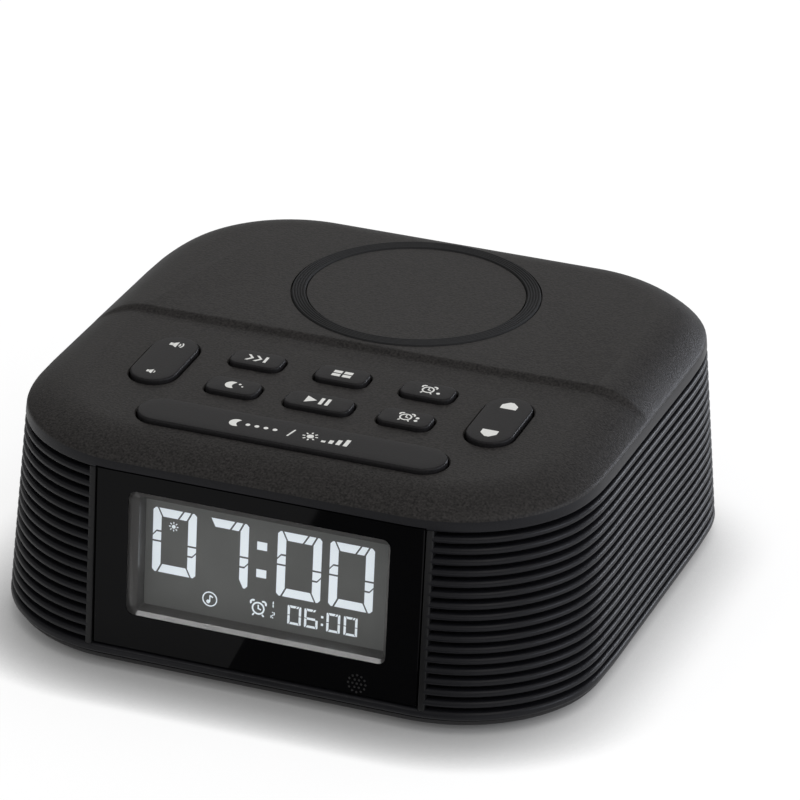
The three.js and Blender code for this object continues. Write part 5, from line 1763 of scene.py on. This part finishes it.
@dataclass
class Base:
    """Base cover with its feet, case screws and battery door."""

    edge_top: float = 2.7
    undercut: float = 2.2
    thickness: float = 2.0
    foot_x: float = 45.0
    foot_y: float = 47.0
    foot_radius: float = 6.0
    foot_sink: float = 0.6
    screw_x: float = 48.0
    screw_y: float = 34.0
    head_radius: float = 2.7
    head_sink: float = 0.4
    head_height: float = 1.4
    door_y: float = -22.0
    door_radius: float = 12.5
    door_height: float = 3.2
    door_cut: float = 5.0
    slot_half: float = 6.0
    slot_width: float = 1.8
    slot_depth: float = 0.7
    shank_radius: float = 1.25
    shank_end: float = 9.0
    cross_half: float = 1.6
    cross_width: float = 0.8
    cross_depth: float = 0.75
    sole_set: float = 0.5
    flare: float = 0.3
    cut_over: float = 1.0

    def build(self) -> None:
        """Make the base and what is set into it."""
        settle(FORM.soften(self._tray()), BASE, "case", "base_plastic", "base_cover")
        feet = scatter("rubber_feet", self._foot(), self._corners(self.foot_x, self.foot_y, 0.0), RUBBER)
        settle(feet, RUBBER, "case", "rubber", *(f"foot_{i}" for i in range(1, 5)))
        places = self._corners(self.screw_x, self.screw_y, FORM.base_z + self.head_sink)
        screws = scatter("cross_screws", self._screw(), places, STEEL)
        settle(screws, STEEL, "case", "steel", *(f"case_screw_{i}" for i in range(1, 5)))
        settle(self._door(), BASE, "battery_door_body", "base_plastic", "battery_door")

    def _corners(self, x: float, y: float, z: float) -> list[Vector]:
        """Four places, one towards each corner."""
        return [Vector((sx * x, sy * y, z)) for sx in (-1, 1) for sy in (-1, 1)]

    def _tray(self) -> Object:
        """Base plate with its curved edge, foot seats, screw seats and door opening.

        Returns:
            The carved base.
        """
        half = FORM.half_width - FORM.edge_break
        depth = self.edge_top - FORM.base_z
        rings = [FORM.ring(FORM.base_z, self.undercut + self.sole_set, half)]
        rings += [FORM.ring(FORM.base_z + depth * run, self.undercut * (1 - rise), half)
                  for run, rise in quarter_round()]
        rings += [FORM.ring(self.edge_top, FORM.wall, half),
                  FORM.ring(FORM.base_z + self.thickness, FORM.wall + self.sole_set, half)]
        tray = lofted("base_tray", rings)
        cutter = Sketch()
        foot = self.foot_radius + FORM.fit
        for place in self._corners(self.foot_x, self.foot_y, FORM.base_z):
            cutter.turned([(foot, -self.cut_over), (foot, self.foot_sink)], LEVEL.moved(place))
        for place in self._corners(self.screw_x, self.screw_y, FORM.base_z):
            self._flared(cutter, place, self.head_radius, self.head_sink + self.head_height, 40)
        self._flared(cutter, Vector((0, self.door_y, FORM.base_z)), self.door_radius, self.door_cut, 96)
        return carve(tray, cutter)

    def _flared(self, cutter: Sketch, place: Vector, radius: float, depth: float, steps: int) -> None:
        """Round cutter that breaks the edge of its hole.

        Args:
            cutter: Sketch that takes it.
            place: Middle of the hole in the sole.
            radius: Radius of what sits in the hole.
            depth: Depth of the hole.
            steps: Steps round the hole.
        """
        radius += FORM.fit
        wide = radius + self.flare
        profile = [(wide, -self.cut_over), (wide, 0), (radius, self.flare), (radius, depth)]
        cutter.turned(profile, LEVEL.moved(place), steps)

    def _foot(self) -> Sketch:
        """Rubber foot with a soft edge and a shallow ring in its sole.

        Returns:
            The sketch of one foot.
        """
        sketch = Sketch()
        r, top = self.foot_radius, FORM.base_z + self.foot_sink
        sketch.turned([(1.2, 0.25), (3.2, 0.25), (3.5, 0.0), (r - 0.6, 0.0), (r - 0.2, 0.12), (r, 0.45),
                       (r, top)], LEVEL)
        return sketch

    def _screw(self) -> Sketch:
        """Pan-head screw seen from below, with a cross in its head.

        Returns:
            The sketch of one screw.
        """
        sketch = Sketch()
        r, seat = self.head_radius, self.head_height - 0.15
        sketch.turned([(self.shank_radius, self.shank_end), (self.shank_radius, seat), (r, seat), (r, 0.45),
                       (r - 0.25, 0.15), (r - 0.8, 0.0), (1.75, 0.0)], LEVEL, steps=40)
        blank = sketch.piece("screw_blank")
        reach, width = self.cross_half, self.cross_width / 2
        for x, y in ((reach, width), (width, reach)):
            cutter = Sketch()
            cutter.box((-x, -y, -self.cut_over), (x, y, self.cross_depth))
            carve(blank, cutter)
        made = Sketch()
        made.bm.from_mesh(blank.data)
        bmesh.ops.scale(made.bm, vec=(1 / MM,) * 3, verts=made.bm.verts)
        bpy.data.objects.remove(blank)
        return made

    def _door(self) -> Object:
        """Quarter-turn door with a coin slot and a soft edge.

        Returns:
            The door.
        """
        sketch = Sketch()
        centre = LEVEL.moved(Vector((0, self.door_y, FORM.base_z)))
        r, top = self.door_radius, self.door_height
        sketch.turned([(7.2, 0.0), (r - 0.35, 0.0), (r - 0.1, 0.1), (r, 0.35), (r, top), (8.0, top),
                       (8.0, 1.5)], centre, steps=96)
        door = sketch.piece("coin_door")
        cutter = Sketch()
        slot = rounded_rect(self.slot_half, self.slot_width / 2, self.slot_width / 2)
        cutter.prism(slot, centre, -self.cut_over, self.slot_depth)
        return carve(door, cutter)


# Rear


@dataclass(frozen=True)
class Socket:
    """Place and size of a socket's face."""

    x: float
    width: float
    height: float


@dataclass
class RearPanel:
    """Panel in the rear frame with the power, charging and audio sockets."""

    face: float = 0.6
    edge: float = 0.3
    corner: float = 0.8
    inner_corner: float = 0.6
    board_top: float = 11.02
    length: float = 12.0
    mouth_set: float = 1.0
    cut_depth: float = 8.0
    block_edge: float = 0.25
    block_corner: float = 0.5
    block_inner_corner: float = 0.4
    power: Socket = Socket(-19.0, 9.0, 11.0)
    power_bore: tuple[Point, ...] = ((2.9, -9.0), (2.9, -0.4), (3.2, 0.0), (3.2, 1.0))
    power_pin: tuple[Point, ...] = ((1.0, -9.0), (1.0, -1.6), (0.75, -1.1), (0.3, -1.0))
    outlet: Socket = Socket(0.0, 14.4, 7.2)
    outlet_mouth: Triple = (6.5, 2.75, 0.4)
    outlet_depth: Point = (-9.0, 1.0)
    blade_count: int = 4
    blade_span: float = 7.0
    blade_low: Triple = (-0.5, -0.05, -8.8)
    blade_high: Triple = (0.5, 0.08, -1.4)
    tongue_low: Triple = (-5.5, 0.08, -9.0)
    tongue_high: Triple = (5.5, 1.88, -1.0)
    tongue_round: float = 0.15
    audio: Socket = Socket(19.0, 7.0, 6.4)
    audio_bore: tuple[Point, ...] = ((1.8, -9.0), (1.8, -0.3), (2.05, 0.0), (2.05, 2.0))

    def build(self) -> None:
        """Make the panel and its sockets."""
        settle(self._plate(), STRIP, "case", "socket_plastic", "rear_panel")
        inlet = self._bored("barrel_inlet", self.power, self.power_bore, 48)
        settle(inlet, SOCKET, "case", "socket_plastic", "power_inlet")
        settle(self._outlet(), STEEL, "case", "steel", "charging_outlet")
        inlet = self._bored("audio_block", self.audio, self.audio_bore, 40)
        settle(inlet, SOCKET, "case", "socket_plastic", "audio_inlet")
        settle(self._contacts(), GILT, "case", "steel")
        settle(self._tongue(), SOCKET, "case", "socket_plastic")

    def _mouth(self, socket: Socket) -> Datum:
        """Level frame in the middle of a socket's face, looking out to the rear.

        Args:
            socket: The socket.

        Returns:
            The frame.
        """
        y = FORM.half_at(self.board_top + socket.height) - self.face - self.mouth_set
        return Datum(Vector((socket.x, y, self.board_top + socket.height / 2)), Vector((-1, 0, 0)),
                     Vector((0, 0, 1)), Vector((0, 1, 0)))

    def _plate(self) -> Object:
        """Plate with broken edges and the three openings.

        Returns:
            The carved plate.
        """
        outline = rounded_rect(FORM.panel_half_x, FORM.panel_half_h, self.corner)
        tight = rounded_rect(FORM.panel_half_x - self.edge, FORM.panel_half_h - self.edge, self.inner_corner)
        rings = [(outline, -FORM.wall), (outline, -self.face - self.edge), (tight, -self.face)]
        plate = lofted("socket_plate", [FORM.rear.ring(points, w) for points, w in rings])
        cutter = Sketch()
        for socket in (self.power, self.outlet, self.audio):
            half_x, half_h = socket.width / 2 + FORM.fit, socket.height / 2 + FORM.fit
            opening = rounded_rect(half_x, half_h, self.block_corner)
            cutter.prism(opening, self._mouth(socket), -self.cut_depth, self.cut_depth)
        return carve(plate, cutter)

    def _block(self, name: str, socket: Socket) -> Object:
        """Socket body with broken front edges.

        Args:
            name: Name of the piece.
            socket: Its place and size.

        Returns:
            The body.
        """
        half_x, half_h, edge = socket.width / 2, socket.height / 2, self.block_edge
        outline = rounded_rect(half_x, half_h, self.block_corner)
        tight = rounded_rect(half_x - edge, half_h - edge, self.block_inner_corner)
        mouth = self._mouth(socket)
        rings = [(outline, -self.length), (outline, -edge), (tight, 0)]
        return lofted(name, [mouth.ring(points, w) for points, w in rings])

    def _bored(self, name: str, socket: Socket, bore: Sequence[Point], steps: int) -> Object:
        """Socket body with a round bore.

        Args:
            name: Name of the piece.
            socket: Its place and size.
            bore: Radius and height of each ring of the bore.
            steps: Steps round the bore.

        Returns:
            The carved body.
        """
        block = self._block(name, socket)
        cutter = Sketch()
        cutter.turned(bore, self._mouth(socket), steps)
        return carve(block, cutter)

    def _outlet(self) -> Object:
        """Rectangular charging outlet: steel shell round a deep mouth.

        Returns:
            The shell.
        """
        block = self._block("charging_shell", self.outlet)
        cutter = Sketch()
        cutter.prism(rounded_rect(*self.outlet_mouth), self._mouth(self.outlet), *self.outlet_depth)
        return carve(block, cutter)

    def _contacts(self) -> Object:
        """Centre pin of the barrel inlet and the blades of the outlet.

        Returns:
            One object with all the contacts.
        """
        sketch = Sketch()
        sketch.turned(self.power_pin, self._mouth(self.power), steps=24)
        spacing = self.blade_span / (self.blade_count - 1)
        for i in range(self.blade_count):
            place = self._mouth(self.outlet).at(i * spacing - self.blade_span / 2, 0, 0)
            sketch.box(self.blade_low, self.blade_high, self._mouth(self.outlet).moved(place))
        return sketch.piece("gilt_contacts")

    def _tongue(self) -> Object:
        """Plastic tongue of the outlet.

        Returns:
            The tongue.
        """
        sketch = Sketch()
        sketch.box(self.tongue_low, self.tongue_high, self._mouth(self.outlet))
        sketch.bevel(self.tongue_round)
        return sketch.piece("outlet_tongue")


# Inner parts that keep their solids


INNER_FINISHES: dict[str, Finish] = {
    "board": BOARD, "switch": SWITCH, "pin": STEEL, "glass": GLASS, "backlight": DIFFUSER,
    "microphone": STEEL, "coil": COPPER, "ferrite": FERRITE, "cell": STEEL, "frame": SOCKET,
    "magnet": MAGNET, "cone": CONE, "surround": RUBBER,
}


def dress_inner_parts() -> None:
    """Give every solid that is still shown the finish of its kind."""
    for name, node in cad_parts.items():
        if node.hide_render:
            continue
        words = name.split("_")
        kind = next((word for word in reversed(words) if word in INNER_FINISHES), None)
        kind = kind or next(word for word in words if word in INNER_FINISHES)
        node.data.materials.clear()
        node.data.materials.append(INNER_FINISHES[kind].material())
        LOG.info("%s keeps its solid with %s", name, INNER_FINISHES[kind].name)


# Studio


@dataclass(frozen=True)
class Lamp:
    """Soft rectangular lamp: place and aim, width and height in metres, watts and linear colour."""

    name: str
    place: Triple
    aim: Triple
    size: Point
    power: float
    colour: Triple

    def build(self) -> None:
        """Make the lamp and turn it to its aim."""
        lamp = bpy.data.lights.new(self.name, "AREA")
        lamp.shape = "RECTANGLE"
        lamp.size, lamp.size_y = self.size
        lamp.energy = self.power
        lamp.color = self.colour
        obj = bpy.data.objects.new(self.name, lamp)
        obj.location = self.place
        obj.rotation_euler = (Vector(self.aim) - Vector(self.place)).to_track_quat("-Z", "Y").to_euler()
        bpy.context.scene.collection.objects.link(obj)


LAMPS = (
    Lamp("overhead", (0.3, -0.1, 0.8), (0, 0, 0.05), (0.4, 0.4), 0.9, (1.0, 0.985, 0.96)),
    Lamp("rear_sheen", (-0.35, 0.9, 0.5), (0, 0, 0.05), (0.9, 0.5), 1.0, (1.0, 0.985, 0.97)),
    Lamp("rear_right", (0.5, 0.8, 0.18), (0.05, 0, 0.03), (0.35, 0.25), 2.4, (0.86, 0.9, 1.0)),
    Lamp("right_fill", (0.95, 0.0, 0.28), (0, 0, 0.03), (0.6, 0.3), 2.6, (0.84, 0.89, 1.0)),
    Lamp("front_right", (0.5, -0.5, 0.6), (0.04, -0.04, 0.05), (0.3, 0.3), 0.5, (1.0, 0.96, 0.93)),
    Lamp("front_left", (-0.313, -0.727, 0.659), (0, -0.05, 0.03), (0.14, 0.14), 0.45, (1.0, 1.0, 1.0)),
)


@dataclass
class Studio:
    """Pale floor, soft lamps and the camera at the photograph's angle.

    The camera's distance, the end of its view and the reach of the contact shadow are metres.
    """

    yaw: float = 0.36411
    pitch: float = 0.47956
    roll: float = 0.01873
    distance: float = 1.10269
    focal_px: float = 5090.57
    image: int = 800
    sensor: float = 36.0
    origin_px: Point = (368.62, 560.75)
    ambient: float = 0.6
    ambient_gloss: float = 0.2
    floor_tone: float = 0.8
    floor_shadow: float = 0.42
    floor_glow: float = 1.26
    contact_reach: float = 0.017
    contact_power: float = 2.6
    contact_turn: Triple = (-1.25, 0.1, 0.0)
    contact_samples: int = 16
    floor_reach: float = 6000.0
    card: tuple[Point, ...] = ((-9, -72), (-32, -190), (60, -190), (60, -72))
    card_z: float = 0.5
    card_tone: float = 0.1
    view_end: float = 50.0

    def build(self) -> None:
        """Make the world, the floor, the lamps and the camera."""
        self._world()
        self._floor()
        self._card()
        for lamp in LAMPS:
            lamp.build()
        self._camera()
        bpy.context.scene.view_settings.view_transform = "Standard"

    def _world(self) -> None:
        """Even soft light all round: white where it is seen, dimmer in gloss than in shade."""
        world = bpy.data.worlds.new("studio")
        bpy.context.scene.world = world
        world.use_nodes = True
        tree = NodeTree(world.node_tree)
        rays = tree.add("ShaderNodeLightPath").outputs
        seen = tree.math("MAXIMUM", rays["Is Camera Ray"], rays["Is Transmission Ray"])
        dim = tree.span(rays["Is Glossy Ray"], self.ambient, self.ambient_gloss)
        tree.feed(world.node_tree.nodes["Background"], {
            "Color": (1, 1, 1, 1), "Strength": tree.math("MAXIMUM", seen, dim)})

    def _sheet(self, name: str, finish: str, corners: Sequence[Point], z: float) -> Object:
        """Flat sheet with a new node material.

        Args:
            name: Name of the sheet.
            finish: Name of the material.
            corners: Corners in order, in millimetres.
            z: Height of the sheet.

        Returns:
            The sheet.
        """
        sketch = Sketch()
        sketch.bm.faces.new([sketch.bm.verts.new((x, y, z)) for x, y in corners])
        sheet = sketch.piece(name)
        material = bpy.data.materials.new(finish)
        material.use_nodes = True
        sheet.data.materials.append(material)
        return sheet

    def _floor(self) -> None:
        """Pale floor that keeps a soft shadow, deepest where the case comes close."""
        reach = self.floor_reach
        corners = [(-reach, -reach), (reach, -reach), (reach, reach), (-reach, reach)]
        floor = self._sheet("studio_floor", "pale_floor", corners, 0)
        nodes = floor.active_material.node_tree.nodes
        nodes.remove(nodes["Principled BSDF"])
        tree = NodeTree(floor.active_material.node_tree)
        matt = tree.add("ShaderNodeBsdfDiffuse", {"Color": (self.floor_tone,) * 3 + (1,)})
        upright = tree.add("ShaderNodeNewGeometry").outputs["Normal"]
        leaning = tree.add("ShaderNodeMapping", {"Vector": upright, "Rotation": self.contact_turn},
                           vector_type="NORMAL")
        near = tree.add("ShaderNodeAmbientOcclusion", {
            "Distance": self.contact_reach, "Normal": leaning.outputs["Vector"]},
            samples=self.contact_samples)
        tone = tree.math("POWER", near.outputs["AO"], self.contact_power)
        white = tree.add("ShaderNodeEmission", {"Color": tone, "Strength": self.floor_glow})
        seen = tree.add("ShaderNodeLightPath").outputs["Is Camera Ray"]
        mix = tree.add("ShaderNodeMixShader", {
            "Fac": tree.span(seen, 0.0, 1 - self.floor_shadow), 1: matt.outputs[0], 2: white.outputs[0]})
        tree.feed(nodes["Material Output"], {"Surface": mix.outputs[0]})

    def _card(self) -> None:
        """Dark card on the floor that shows only as the slanted reflection in the gloss lens."""
        card = self._sheet("studio_card", "black_card", self.card, self.card_z)
        shader = card.active_material.node_tree.nodes["Principled BSDF"]
        shader.inputs["Base Color"].default_value = (self.card_tone,) * 3 + (1,)
        for rays in ("camera", "diffuse", "shadow", "transmission", "volume_scatter"):
            setattr(card, f"visible_{rays}", False)

    def _camera(self) -> None:
        """Camera at the photograph's angle, with the frame's middle on the same line of sight."""
        back = Vector((math.sin(self.yaw) * math.cos(self.pitch), -math.cos(self.yaw) * math.cos(self.pitch),
                       math.sin(self.pitch)))
        level = Vector((math.cos(self.yaw), math.sin(self.yaw), 0))
        raised = back.cross(level)
        right = level * math.cos(self.roll) + raised * math.sin(self.roll)
        up = raised * math.cos(self.roll) - level * math.sin(self.roll)
        middle = self.image / 2
        aim = right * (middle - self.origin_px[0]) - up * (middle - self.origin_px[1]) - back * self.focal_px
        ahead = aim.normalized()
        right = (right - ahead * right.dot(ahead)).normalized()
        up = right.cross(ahead)
        turn = Matrix((right, up, -ahead)).transposed()
        data = bpy.data.cameras.new("photo_camera")
        data.sensor_width = self.sensor
        data.lens = self.focal_px / self.image * self.sensor
        data.clip_end = self.view_end
        camera = bpy.data.objects.new("photo_camera", data)
        camera.matrix_world = Matrix.Translation(back * self.distance) @ turn.to_4x4()
        bpy.context.scene.collection.objects.link(camera)
        bpy.context.scene.camera = camera


def main() -> None:
    """Build every sub-assembly in order."""
    logging.basicConfig(level=logging.INFO, format="%(message)s")
    keys = KeyPad()
    GrilleShell().build()
    TopCover().build(keys)
    keys.build()
    Display().build()
    Base().build()
    RearPanel().build()
    dress_inner_parts()
    Studio().build()


if __name__ == "__main__":
    main()
